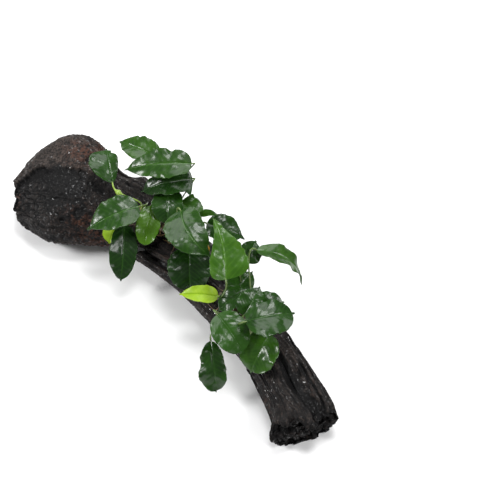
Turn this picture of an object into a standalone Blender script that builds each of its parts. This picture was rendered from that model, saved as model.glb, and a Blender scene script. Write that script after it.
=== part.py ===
"""Anubias on driftwood: two crowns of a low water plant, each creeping on one forked piece of driftwood.

Every place and size below is in millimetres. Places are measured on plan from a point on the floor between
the two crowns, with x to the right, y away from the front and z up, and PLAN_CENTRE then moves the origin to
the middle of the footprint. Angles are in degrees.
"""

import math
from dataclasses import dataclass

import bmesh
import bpy
from mathutils import Vector
from mathutils.bvhtree import BVHTree

MM = 0.001
PLAN_CENTRE = Vector((-72.8, -47.0, 0.0))
GAP = 0.4

# The driftwood: its facets, the shares of its rings and length that shape each end, and the fork's play.
WOOD_SIDES = 36
WOOD_RINGS = 26
END_SHARE = 0.12
END_ROUNDNESS = 0.8
END_REACH = 0.3
SOCKET_CLEARANCE = 0.6

# The leaves. Shoulder and point are the powers that make a blade's outline broad at its base and pointed.
BLADE_STEPS = 7
BLADE_STRIPS = 4
BLADE_THICKNESS = 1.0
BLADE_END_WIDTH = 1.2
BLADE_SHOULDER = 0.5
BLADE_POINT = 0.95
RUFFLE_HEIGHT = 0.04
RUFFLE_WAVES = 11
STALK_RADIUS = 1.1
STALK_STEPS = 5
STALK_LIFT = 0.7
STALK_KNEE = 3.5

# The creeping stems.
RHIZOME_RADIUS = 4.6
RHIZOME_STEPS = 8
RHIZOME_FOOT = 0.7


@dataclass(frozen=True)
class Station:
    """A cross-section of the wood: its centre on plan, its reach to each side, its top and its underside."""

    x: float
    y: float
    reach: float
    top: float
    bottom: float


@dataclass(frozen=True)
class Relief:
    """A swelling, or with a negative height a hollow, at one place along and around a piece of wood."""

    along: float
    angle: float
    height: float
    length: float
    spread: float


@dataclass(frozen=True)
class Wood:
    """One arm of the driftwood: its cross-sections, relief, grain furrows and the slant of its two ends.

    A furrow set is (count around, depth as a share of the radius, start turn, turns from end to end). A jag
    set is (count around, reach in millimetres, start turn), and breaks an end up into splinters.
    """

    name: str
    stations: tuple
    reliefs: tuple
    furrows: tuple
    jags: tuple
    bend_span: float
    start_slant: float
    start_slant_angle: float
    end_slant: float
    end_slant_angle: float
    squareness: float


@dataclass(frozen=True)
class Rhizome:
    """A creeping stem: its two ends on plan, and how far its middle bows to one side."""

    name: str
    start: tuple
    end: tuple
    bow: float


@dataclass(frozen=True)
class Leaf:
    """One leaf: where its blade starts, how it lies, its size and form, and where its stalk is rooted.

    Heading is the turn from x toward y, pitch the rise toward the tip, arch the bow's height as a share of
    the length, roll a turn about the midrib, and fold the lift of the margins. Root is the share along the
    creeping stem and root_side the turn around it. Rise and hook are the stalk's pulls at its two ends.
    """

    name: str
    base: tuple
    heading: float
    pitch: float
    length: float
    width: float
    arch: float
    roll: float
    fold: float
    root: float
    root_side: float
    colour: str = "leaf"
    rise: float = 0.4
    hook: float = 0.35


HEAD = Wood(
    name="driftwood_head",
    stations=(
        Station(x=-213, y=39, reach=22, top=35, bottom=9),
        Station(x=-201, y=40, reach=35, top=45, bottom=4),
        Station(x=-184, y=44, reach=47, top=57, bottom=-1),
        Station(x=-166, y=46, reach=56, top=64, bottom=-4),
        Station(x=-148, y=44, reach=55, top=62, bottom=-4),
        Station(x=-128, y=33, reach=45, top=54, bottom=-1),
        Station(x=-108, y=22, reach=36, top=47, bottom=4),
        Station(x=-88, y=14, reach=28, top=43, bottom=6),
        Station(x=-70, y=5, reach=24, top=40, bottom=6),
        Station(x=-54, y=-6, reach=18, top=34, bottom=8),
    ),
    reliefs=(
        Relief(along=0.14, angle=125, height=-0.15, length=0.12, spread=34),
        Relief(along=0.20, angle=78, height=-0.15, length=0.13, spread=11),
        Relief(along=0.30, angle=52, height=0.06, length=0.20, spread=14),
        Relief(along=0.66, angle=14, height=0.16, length=0.03, spread=18),
        Relief(along=0.60, angle=30, height=-0.08, length=0.03, spread=22),
        Relief(along=0.10, angle=178, height=-0.10, length=0.05, spread=18),
    ),
    furrows=((5, 0.050, 0.10, 0.12), (9, 0.045, 0.35, -0.10), (14, 0.030, 0.05, 0.08)),
    jags=((3, 2.5, 0.2), (7, 1.5, 0.6)),
    bend_span=0.30,
    start_slant=5,
    start_slant_angle=200,
    end_slant=0,
    end_slant_angle=0,
    squareness=2.2,
)

LIMB = Wood(
    name="driftwood_limb",
    stations=(
        Station(x=-78, y=-8, reach=23, top=34, bottom=3),
        Station(x=-61, y=-20, reach=27, top=39, bottom=1),
        Station(x=-40, y=-40, reach=26, top=41, bottom=-2),
        Station(x=-19, y=-68, reach=23, top=40, bottom=-3),
        Station(x=5, y=-99, reach=23, top=39, bottom=-2),
        Station(x=21, y=-124, reach=24, top=38, bottom=0),
        Station(x=33, y=-148, reach=25, top=38, bottom=-2),
        Station(x=42, y=-169, reach=26, top=37, bottom=-3),
        Station(x=45, y=-182, reach=25, top=34, bottom=-2),
    ),
    reliefs=(
        Relief(along=0.92, angle=128, height=0.10, length=0.08, spread=26),
        Relief(along=0.78, angle=76, height=-0.14, length=0.20, spread=9),
        Relief(along=0.12, angle=148, height=-0.16, length=0.22, spread=8),
        Relief(along=0.66, angle=44, height=-0.10, length=0.16, spread=8),
        Relief(along=0.97, angle=172, height=0.22, length=0.07, spread=26),
        Relief(along=0.94, angle=20, height=0.08, length=0.05, spread=20),
        Relief(along=0.99, angle=66, height=-0.10, length=0.05, spread=20),
    ),
    furrows=((4, 0.045, 0.20, 0.10), (7, 0.060, 0.45, -0.12), (12, 0.050, 0.10, 0.08)),
    jags=((4, 3.5, 0.3), (9, 3.0, 0.1)),
    bend_span=0.06,
    start_slant=15,
    start_slant_angle=195,
    end_slant=5,
    end_slant_angle=190,
    squareness=2.6,
)

UPPER_RHIZOME = Rhizome("rhizome_upper", start=(-96, 10), end=(-40, -22), bow=-3)
LOWER_RHIZOME = Rhizome("rhizome_lower", start=(-26, -74), end=(5, -114), bow=3)

# Each row gives a leaf's name, base, heading, pitch, length, width, arch, roll, fold, root and root side.
UPPER_LEAVES = (
    Leaf("01", (-119, 26, 66), 114, 13, 37, 27, 0.10, -5, 10, 0.04, 100, rise=0.5),
    Leaf("02", (-92, -6, 72), -163, -12, 50, 29, 0.12, -10, 8, 0.08, 100, rise=0.7),
    Leaf("03", (-109, -5, 49), -146, -24, 21, 14, 0.10, 0, 10, 0.08, 30, "lime"),
    Leaf("04", (-105, -12, 53), -100, -33, 49, 24, 0.12, 0, 8, 0.24, 20),
    Leaf("05", (-83, -1, 63), -110, -24, 34, 22, 0.08, -12, 8, 0.32, 80, "young", rise=0.3, hook=0.2),
    Leaf("06", (-82, 44, 80), 146, -6, 42, 27, 0.10, -5, 8, 0.12, 130),
    Leaf("07", (-49, 25, 97), 179, -11, 58, 28, 0.12, -18, 6, 0.60, 160, rise=0.7, hook=0.2),
    Leaf("08", (-51, 21, 82), -172, -20, 46, 28, 0.12, -5, 6, 0.50, 130),
    Leaf("09", (-69, 14, 73), -93, -24, 35, 26, 0.10, 0, 6, 0.38, 110),
    Leaf("10", (-52, 4, 58), -50, -14, 24, 19, 0.10, 0, 16, 0.66, 110),
    Leaf("11", (-43, -11, 71), -6, 14, 17, 10, 0.10, 0, 40, 0.76, 100),
    Leaf("12", (-37, -14, 62), -13, -18, 38, 26, 0.14, 15, 8, 0.92, 100),
    Leaf("13", (-56, -12, 80), -55, -13, 46, 32, 0.10, 0, 8, 0.78, 70, rise=0.5),
    Leaf("14", (-50, -34, 61), -92, -32, 39, 34, 0.12, 0, 8, 0.84, 40),
)

LOWER_LEAVES = (
    Leaf("01", (-19, -80, 80), 102, 16, 55, 32, 0.08, 0, 6, 0.14, 40, "young", rise=0.7, hook=0.5),
    Leaf("02", (-27, -80, 53), 174, -4, 34, 16, 0.10, -10, 14, 0.06, 60, "lime", rise=0.5),
    Leaf("03", (-1, -65, 78), 61, 16, 24, 22, 0.10, 40, 10, 0.38, 130),
    Leaf("04", (5, -56, 88), -20, -38, 58, 25, 0.18, 45, 12, 0.56, 110, rise=0.7, hook=0.1),
    Leaf("05", (0, -72, 57), 138, 10, 23, 19, 0.10, 0, 10, 0.44, 110),
    Leaf("06", (-4, -82, 63), -150, -22, 27, 20, 0.10, 0, 10, 0.28, 130, rise=0.55),
    Leaf("07", (-7, -104, 67), 58, 22, 28, 21, 0.10, 20, 8, 0.54, 70),
    Leaf("08", (7, -97, 60), 14, 12, 26, 21, 0.12, 15, 8, 0.64, 130),
    Leaf("09", (-1, -106, 75), 8, -6, 41, 30, 0.12, 5, 8, 0.82, 80, rise=0.7),
    Leaf("10", (-26, -108, 70), -53, -27, 38, 29, 0.12, 0, 8, 0.64, 40),
    Leaf("11", (8, -114, 53), -111, -26, 36, 29, 0.12, 0, 8, 0.92, 120),
    Leaf("12", (-30, -117, 48), -79, -40, 44, 22, 0.12, 0, 8, 0.82, 20),
)

COLOURS = {
    "driftwood": ((0.030, 0.024, 0.022), 0.45),
    "rhizome": ((0.120, 0.090, 0.030), 0.50),
    "stalk": ((0.130, 0.220, 0.040), 0.40),
    "leaf": ((0.022, 0.095, 0.018), 0.30),
    "young": ((0.060, 0.200, 0.025), 0.30),
    "lime": ((0.300, 0.520, 0.020), 0.35),
}


def empty_the_scene():
    """Removes whatever the scene already holds."""
    for item in list(bpy.data.objects):
        bpy.data.objects.remove(item, do_unlink=True)


def new_collection(name):
    """Adds a collection to the scene and returns it."""
    collection = bpy.data.collections.new(name)
    bpy.context.scene.collection.children.link(collection)
    return collection


def material(name):
    """Returns the named finish as a Principled BSDF material, making it the first time."""
    found = bpy.data.materials.get(name)
    if found:
        return found
    colour, roughness = COLOURS[name]
    made = bpy.data.materials.new(name)
    made.use_nodes = True
    shader = made.node_tree.nodes["Principled BSDF"]
    shader.inputs["Base Color"].default_value = (*colour, 1.0)
    shader.inputs["Roughness"].default_value = roughness
    shader.inputs["Metallic"].default_value = 0.0
    return made


def placed(point):
    """Returns a design point, in millimetres, as a world point in metres."""
    return (point - PLAN_CENTRE) * MM


def smooth_step(value):
    """Eases a share from 0 to 1, level at both ends."""
    value = min(1.0, max(0.0, value))
    return value * value * (3 - 2 * value)


def spline_point(values, share):
    """Reads a smooth curve through the values at a share of its length, as a Catmull-Rom spline."""
    last = len(values) - 1
    place = min(max(share, 0.0), 1.0) * last
    index = min(int(place), last - 1)
    t = place - index
    before = values[max(index - 1, 0)]
    here = values[index]
    ahead = values[index + 1]
    after = values[min(index + 2, last)]
    slope_here = (ahead - before) / 2
    slope_ahead = (after - here) / 2
    return (
        here * (2 * t**3 - 3 * t**2 + 1)
        + slope_here * (t**3 - 2 * t**2 + t)
        + ahead * (3 * t**2 - 2 * t**3)
        + slope_ahead * (t**3 - t**2)
    )


def angle_between(first, second):
    """Returns the shorter way round between two directions."""
    return (first - second + 180) % 360 - 180


def wood_relief(wood, along, angle):
    """Returns how far outside its plain section the wood's surface lies, as a share of the radius."""
    height = 0.0
    for relief in wood.reliefs:
        lengthwise = (along - relief.along) / relief.length
        around = angle_between(angle, relief.angle) / relief.spread
        height += relief.height * math.exp(-lengthwise**2 - around**2)
    for count, depth, start, drift in wood.furrows:
        turn = count * (angle / 360 + start) + drift * count * along
        height -= depth * (1 - abs(math.sin(math.pi * turn))) ** 2
    return height


def end_reach(wood, angle, slant, slant_angle):
    """Returns how far an end's rim stands out at one place around it, from its slant and its splinters."""
    splinters = 0.0
    for count, reach, start in wood.jags:
        splinters += reach * math.sin(2 * math.pi * (count * angle / 360 + start))
    upper_share = (1 + math.sin(math.radians(angle))) / 2
    return splinters * upper_share + slant * math.cos(math.radians(angle - slant_angle))


def wood_point(wood, along, share, angle, grow):
    """Returns the wood's surface point along its length and around it, share being 0 at an end's middle."""
    stations = wood.stations
    centre = Vector((0, 0, 0))
    centre.x = spline_point([s.x for s in stations], along)
    centre.y = spline_point([s.y for s in stations], along)
    top = spline_point([s.top for s in stations], along)
    bottom = spline_point([s.bottom for s in stations], along)
    reach = spline_point([s.reach for s in stations], along)
    centre.z = (top + bottom) / 2

    places = [Vector((s.x, s.y, 0)) for s in stations]
    ahead = spline_point(places, along + wood.bend_span)
    behind = spline_point(places, along - wood.bend_span)
    forward = (ahead - behind).normalized()
    left = Vector((-forward.y, forward.x, 0))

    turn = math.radians(angle)
    power = 2 / wood.squareness
    across = math.copysign(abs(math.cos(turn)) ** power, math.cos(turn))
    upward = math.copysign(abs(math.sin(turn)) ** power, math.sin(turn))
    out = share * (1 + wood_relief(wood, along, angle))
    point = centre + left * across * (reach * out + grow * share)
    point.z += upward * ((top - bottom) / 2 * out + grow * share)

    start_reach = end_reach(wood, angle, wood.start_slant, wood.start_slant_angle)
    finish_reach = end_reach(wood, angle, wood.end_slant, wood.end_slant_angle)
    point -= forward * (start_reach * share + grow) * smooth_step(1 - along / END_REACH)
    point += forward * (finish_reach * share + grow) * smooth_step(1 - (1 - along) / END_REACH)
    point.z = max(point.z, -2 * grow)
    return point


def wood_mesh(wood, grow=0.0):
    """Bends a sphere's rings into one arm of the driftwood and sets its underside flat on the floor."""
    bm = bmesh.new()
    bmesh.ops.create_uvsphere(bm, u_segments=WOOD_SIDES, v_segments=WOOD_RINGS, radius=1.0)
    for vertex in bm.verts:
        down = math.acos(max(-1.0, min(1.0, vertex.co.z))) / math.pi
        angle = math.degrees(math.atan2(vertex.co.y, vertex.co.x)) % 360
        share = min(1.0, down / END_SHARE, (1 - down) / END_SHARE)
        share = math.sin(share * math.pi / 2) ** END_ROUNDNESS
        along = (down - END_SHARE) / (1 - 2 * END_SHARE)
        vertex.co = placed(wood_point(wood, min(max(along, 0.0), 1.0), share, angle, grow))
    bmesh.ops.reverse_faces(bm, faces=bm.faces)
    mesh = bpy.data.meshes.new(wood.name)
    bm.to_mesh(mesh)
    bm.free()
    mesh.shade_smooth()
    return mesh


def add_object(name, data, collection, finish=None):
    """Puts a mesh or a curve into a collection as an object with its finish."""
    item = bpy.data.objects.new(name, data)
    collection.objects.link(item)
    if finish:
        data.materials.append(material(finish))
    return item


def build_driftwood(parts, cutters):
    """Builds both arms, the head with a socket at its thin end where the limb grows out of it."""
    limb = add_object(LIMB.name, wood_mesh(LIMB), parts, "driftwood")
    head = add_object(HEAD.name, wood_mesh(HEAD), parts, "driftwood")
    socket = add_object("fork_socket", wood_mesh(LIMB, grow=SOCKET_CLEARANCE), cutters)
    socket.hide_render = True
    socket.display_type = "WIRE"
    cut = head.modifiers.new("fork", "BOOLEAN")
    cut.operation = "DIFFERENCE"
    cut.object = socket
    return [limb, head]


def surface_finder(woods):
    """Returns a function that gives the wood's highest point, in millimetres, near a place on plan."""
    bpy.context.view_layer.update()
    depsgraph = bpy.context.evaluated_depsgraph_get()
    trees = [BVHTree.FromObject(wood, depsgraph) for wood in woods]
    down = Vector((0, 0, -1))

    def highest(x, y, around):
        found = []
        for dx in (-around, 0, around):
            for dy in (-around, 0, around):
                start = placed(Vector((x + dx, y + dy, 300)))
                hits = [tree.ray_cast(start, down)[0] for tree in trees]
                found += [hit.z / MM for hit in hits if hit]
        return max(found)

    return highest


def rhizome_points(rhizome, highest):
    """Returns the centre line of a creeping stem that lies on top of the wood."""
    start = Vector((*rhizome.start, 0))
    end = Vector((*rhizome.end, 0))
    sideways = Vector((start.y - end.y, end.x - start.x, 0)).normalized()
    points = []
    for step in range(RHIZOME_STEPS + 1):
        share = step / RHIZOME_STEPS
        point = start.lerp(end, share) + sideways * rhizome.bow * math.sin(math.pi * share)
        point.z = highest(point.x, point.y, RHIZOME_RADIUS * RHIZOME_FOOT) + RHIZOME_RADIUS + GAP
        points.append(point)
    return points


def rhizome_thickness(share):
    """Returns a creeping stem's radius along it: blunt at the old end, drawn out at the growing tip."""
    return RHIZOME_RADIUS * (0.75 + 0.25 * math.sin(math.pi * min(1.0, share * 1.1)))


def build_tube(name, points, radii, resolution, collection, finish):
    """Builds a round tube with filled ends through the points, each with its own radius."""
    curve = bpy.data.curves.new(name, "CURVE")
    curve.dimensions = "3D"
    curve.bevel_depth = MM
    curve.bevel_resolution = resolution
    curve.render_resolution_u = 0
    curve.use_fill_caps = True
    spline = curve.splines.new("POLY")
    spline.points.add(len(points) - 1)
    for control, point, radius in zip(spline.points, points, radii):
        control.co = (*placed(point), 1)
        control.radius = radius
    return add_object(name, curve, collection, finish)


def leaf_frame(leaf):
    """Returns a blade's own directions: toward its tip, toward its left margin and out of its upper face."""
    heading = math.radians(leaf.heading)
    pitch = math.radians(leaf.pitch)
    level = Vector((math.cos(heading), math.sin(heading), 0))
    tipward = level * math.cos(pitch) + Vector((0, 0, math.sin(pitch)))
    left = Vector((-math.sin(heading), math.cos(heading), 0))
    return tipward, left, tipward.cross(left)


def outline_share(along):
    """Returns the blade's half width at a share of its length, as a share of the widest."""
    widest = BLADE_SHOULDER / (BLADE_SHOULDER + BLADE_POINT)
    most = widest**BLADE_SHOULDER * (1 - widest) ** BLADE_POINT
    return along**BLADE_SHOULDER * (1 - along) ** BLADE_POINT / most


def blade_point(leaf, along, across):
    """Returns a blade's point, along from base to tip and across from the right margin to the left."""
    tipward, flat_left, flat_outward = leaf_frame(leaf)
    roll = math.radians(leaf.roll)
    left = flat_left * math.cos(roll) + flat_outward * math.sin(roll)
    outward = flat_outward * math.cos(roll) - flat_left * math.sin(roll)
    bow = 4 * along * (1 - along)
    half = leaf.width / 2 * outline_share(along) + BLADE_END_WIDTH / 2
    fold = math.radians(leaf.fold)
    own_phase = 20 * leaf.root
    wave = math.sin(RUFFLE_WAVES * along + 2 * across + own_phase)
    lift = half * abs(across) * math.sin(fold) + RUFFLE_HEIGHT * leaf.width * across**2 * wave
    point = Vector(leaf.base) + tipward * leaf.length * along
    point += outward * (leaf.length * leaf.arch * bow + lift)
    point += left * half * across * math.cos(fold)
    return point


def build_blade(leaf, name, collection):
    """Builds one blade as a sheet of its outline, arched, folded and ruffled, and gives it its thickness."""
    bm = bmesh.new()
    bmesh.ops.create_grid(bm, x_segments=BLADE_STEPS, y_segments=BLADE_STRIPS, size=1.0)
    for vertex in bm.verts:
        along = (1 + math.sin(vertex.co.x * math.pi / 2)) / 2
        vertex.co = placed(blade_point(leaf, min(max(along, 0.0), 1.0), vertex.co.y))
    mesh = bpy.data.meshes.new(name)
    bm.to_mesh(mesh)
    bm.free()
    mesh.shade_smooth()
    blade = add_object(name, mesh, collection, leaf.colour)
    sheet = blade.modifiers.new("thickness", "SOLIDIFY")
    sheet.thickness = BLADE_THICKNESS * MM
    sheet.offset = 0.0
    return blade


def build_stalk(leaf, name, rhizome_line, collection):
    """Builds a leaf's stalk, which leaves the creeping stem square to it and meets the blade end on."""
    place = leaf.root * (len(rhizome_line) - 1)
    index = min(int(place), len(rhizome_line) - 2)
    centre = rhizome_line[index].lerp(rhizome_line[index + 1], place - index)
    forward = (rhizome_line[index + 1] - rhizome_line[index]).normalized()
    right = forward.cross(Vector((0, 0, 1))).normalized()
    upward = right.cross(forward)
    side = math.radians(leaf.root_side)
    outward = right * math.cos(side) + upward * math.sin(side)
    start = centre + outward * (rhizome_thickness(leaf.root) + GAP)
    tipward = leaf_frame(leaf)[0]
    knee = Vector(leaf.base) - tipward * STALK_KNEE
    reach = (knee - start).length
    first_pull = start + outward * reach * leaf.rise
    arrival = (tipward + Vector((0, 0, STALK_LIFT))).normalized()
    last_pull = knee - arrival * reach * leaf.hook
    points = []
    for step in range(STALK_STEPS):
        t = step / (STALK_STEPS - 1)
        points.append(start * (1 - t) ** 3 + first_pull * 3 * t * (1 - t) ** 2
                      + last_pull * 3 * t**2 * (1 - t) + knee * t**3)
    points.append(Vector(leaf.base) - tipward * (GAP + BLADE_THICKNESS / 2))
    return build_tube(name, points, [STALK_RADIUS] * len(points), 1, collection, "stalk")


def build_crown(rhizome, leaves, prefix, highest, collection):
    """Builds one crown: its creeping stem, and a blade and a stalk for each of its leaves."""
    line = rhizome_points(rhizome, highest)
    radii = [rhizome_thickness(step / RHIZOME_STEPS) for step in range(len(line))]
    build_tube(rhizome.name, line, radii, 3, collection, "rhizome")
    for leaf in leaves:
        build_blade(leaf, f"blade_{prefix}_{leaf.name}", collection)
        build_stalk(leaf, f"stalk_{prefix}_{leaf.name}", line, collection)


def main():
    """Builds the whole object."""
    empty_the_scene()
    parts = new_collection("anubias_on_driftwood")
    cutters = new_collection("cutters")
    woods = build_driftwood(parts, cutters)
    highest = surface_finder(woods)
    build_crown(UPPER_RHIZOME, UPPER_LEAVES, "upper", highest, parts)
    build_crown(LOWER_RHIZOME, LOWER_LEAVES, "lower", highest, parts)


main()
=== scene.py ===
"""Anubias on driftwood, dressed: wet furrowed wood and two crowns of glossy leaves on creeping stems.

Places and sizes are in millimetres, measured on plan from a point on the floor between the two crowns,
with x to the right, y away from the front and z up, on the solid model's own axes. PLAN_CENTRE moves the
origin to the middle of the footprint, and angles are in degrees. Every piece but the roots replaces the
plain solid that it dresses.
"""

from __future__ import annotations

import logging
import math
from dataclasses import dataclass
from enum import Enum
from typing import Any, Callable, Optional, Sequence, Union

import bmesh
import bpy
import numpy as np
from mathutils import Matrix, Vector, noise
from mathutils.bvhtree import BVHTree


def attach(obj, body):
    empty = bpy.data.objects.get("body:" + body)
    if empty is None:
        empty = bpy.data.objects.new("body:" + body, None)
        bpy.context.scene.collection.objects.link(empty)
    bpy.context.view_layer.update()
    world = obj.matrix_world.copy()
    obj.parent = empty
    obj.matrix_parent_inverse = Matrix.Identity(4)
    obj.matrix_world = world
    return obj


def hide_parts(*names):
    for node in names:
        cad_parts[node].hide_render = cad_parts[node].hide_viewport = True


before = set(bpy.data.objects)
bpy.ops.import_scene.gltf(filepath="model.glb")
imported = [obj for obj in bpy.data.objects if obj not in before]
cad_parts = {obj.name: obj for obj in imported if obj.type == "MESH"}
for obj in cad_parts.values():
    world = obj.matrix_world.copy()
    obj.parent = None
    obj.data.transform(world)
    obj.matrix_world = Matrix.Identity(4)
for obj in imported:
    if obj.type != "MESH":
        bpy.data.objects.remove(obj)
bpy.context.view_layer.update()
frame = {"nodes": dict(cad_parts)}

log = logging.getLogger("anubias")

MM = 0.001
BODY = "root"
PLAN_CENTRE = np.array((-72.8, -47.0, 0.0))
GAP = 0.4

# The shares of a branch's rings and of its length that shape its two ends.
END_SHARE = 0.12
END_ROUNDNESS = 0.8
END_REACH = 0.3

# How far a split strays, in degrees, the share of its length that fades out, and how sharp its edges are.
CRACK_WANDER = 7
CRACK_FADE = 0.15
CRACK_SHARPNESS = 1.6

BLADE_THICKNESS = 0.55
BLADE_STEPS = 88
BLADE_STRIPS = 44
STALK_RADIUS = 0.75
STALK_LIFT = 0.7
STALK_KNEE = 2.5
STALK_TUCK = 1.2
STALK_STEPS = 40
RHIZOME_RADIUS = 4.6
RHIZOME_STEPS = 8
RHIZOME_FOOT = 0.7
RHIZOME_END_SHARE = 0.06

Array = np.ndarray
Number = Union[float, Array]
Notes = dict[str, Array]


def smooth_step(value: Number) -> Number:
    """Eases a share from 0 to 1, level at both ends."""
    value = np.clip(value, 0.0, 1.0)
    return value * value * (3 - 2 * value)


def spline(values: Sequence[float], share: Number) -> Array:
    """Reads a Catmull-Rom curve through some values.

    Args:
        values: The numbers that the curve passes through, evenly spaced.
        share: The shares of its length at which to read it.

    Returns:
        The curve's value at each share.
    """
    knots = np.asarray(values, dtype=float)
    last = len(knots) - 1
    place = np.clip(share, 0.0, 1.0) * last
    index = np.minimum(np.asarray(place).astype(int), last - 1)
    t = place - index
    before = knots[np.maximum(index - 1, 0)]
    here = knots[index]
    ahead = knots[index + 1]
    after = knots[np.minimum(index + 2, last)]
    slope_here = (ahead - before) / 2
    slope_ahead = (after - here) / 2
    return (
        here * (2 * t**3 - 3 * t**2 + 1)
        + slope_here * (t**3 - 2 * t**2 + t)
        + ahead * (3 * t**2 - 2 * t**3)
        + slope_ahead * (t**3 - t**2)
    )


def angle_between(first: Number, second: Number) -> Number:
    """Returns the shorter way round between two directions."""
    return (first - second + 180) % 360 - 180


def smooth_noise(points: Array, size: float, octaves: int = 1) -> Array:
    """Reads a smooth random field, about -1 to 1.

    Args:
        points: The places, one row each.
        size: How wide one swell of the field is, in the places' own units.
        octaves: How many finer layers of swells are added.

    Returns:
        The field's value at each place.
    """
    rows = (points / size).tolist()
    if octaves == 1:
        return np.array([noise.noise(row) for row in rows])
    return np.array([noise.fractal(row, 1.0, 2.0, octaves) for row in rows])


def ridged_noise(points: Array, size: float) -> Array:
    """Reads a random field of sharp crests, 0 to 1, with 1 on the crests."""
    return 1.0 - np.minimum(1.0, 2.2 * np.abs(smooth_noise(points, size)))


def cells(points: Array, size: float) -> tuple[Array, Array]:
    """Reads a field of random cells.

    Args:
        points: The places, one row each.
        size: How wide one cell is.

    Returns:
        Each place's distance from the border of its cell, about 0 to 1, and a random share for its cell.
    """
    borders = np.empty(len(points))
    shares = np.empty(len(points))
    for index, row in enumerate((points / size).tolist()):
        distances, centres = noise.voronoi(row)
        borders[index] = distances[1] - distances[0]
        shares[index] = noise.cell(centres[0] * 7.3)
    return borders, shares


def read_rows(source: Any, field: str) -> Array:
    """Reads a row of three numbers from each item of a mesh's collection.

    Args:
        source: The collection.
        field: The items' field.

    Returns:
        The rows.
    """
    numbers = np.empty(len(source) * 3, dtype=np.float32)
    source.foreach_get(field, numbers)
    return numbers.reshape(-1, 3).astype(float)


def read_places(mesh: bpy.types.Mesh) -> Array:
    """Returns a mesh's vertex places, one row each."""
    return read_rows(mesh.vertices, "co")


def read_normals(mesh: bpy.types.Mesh) -> Array:
    """Returns the direction out of a mesh at each vertex."""
    return read_rows(mesh.vertex_normals, "vector")


def write_places(mesh: bpy.types.Mesh, places: Array) -> None:
    """Moves a mesh's vertices.

    Args:
        mesh: The mesh.
        places: Their new design places, in millimetres.
    """
    world = (places - PLAN_CENTRE) * MM
    mesh.vertices.foreach_set("co", world.astype(np.float32).ravel())
    mesh.update()


def store(mesh: bpy.types.Mesh, name: str, values: Array) -> None:
    """Keeps a number or a place for each vertex under a name that the mesh's material reads.

    Args:
        mesh: The mesh.
        name: The attribute's name.
        values: One number, or one row of three, for each vertex.
    """
    kind, field = ("FLOAT", "value") if values.ndim == 1 else ("FLOAT_VECTOR", "vector")
    attribute = mesh.attributes.new(name, kind, "POINT")
    attribute.data.foreach_set(field, np.ascontiguousarray(values, dtype=np.float32).ravel())


class Signal:
    """A number or a colour on its way through a material. Arithmetic on it adds Math nodes."""

    def __init__(self, painter: "Painter", socket: bpy.types.NodeSocket) -> None:
        """Wraps one output of a node."""
        self.painter = painter
        self.socket = socket

    def math(self, operation: str, *values: Any) -> "Signal":
        """Adds a Math node of an operation on some values."""
        return self.painter.node("ShaderNodeMath", {"operation": operation}, dict(enumerate(values)))

    def __add__(self, other: Any) -> "Signal":
        """Adds."""
        return self.math("ADD", self, other)

    def __sub__(self, other: Any) -> "Signal":
        """Takes away."""
        return self.math("SUBTRACT", self, other)

    def __rsub__(self, other: Any) -> "Signal":
        """Takes this away from a plain number."""
        return self.math("SUBTRACT", other, self)

    def __mul__(self, other: Any) -> "Signal":
        """Multiplies."""
        return self.math("MULTIPLY", self, other)

    __radd__ = __add__
    __rmul__ = __mul__

    def between(self, low: float, high: float) -> "Signal":
        """Returns an eased 0 to 1 as this goes from low to high."""
        inputs = {"Value": self, "From Min": low, "From Max": high}
        return self.painter.node("ShaderNodeMapRange", {"interpolation_type": "SMOOTHSTEP"}, inputs)


Colour = tuple[float, float, float]
Paint = Union[Signal, Colour]


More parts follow.
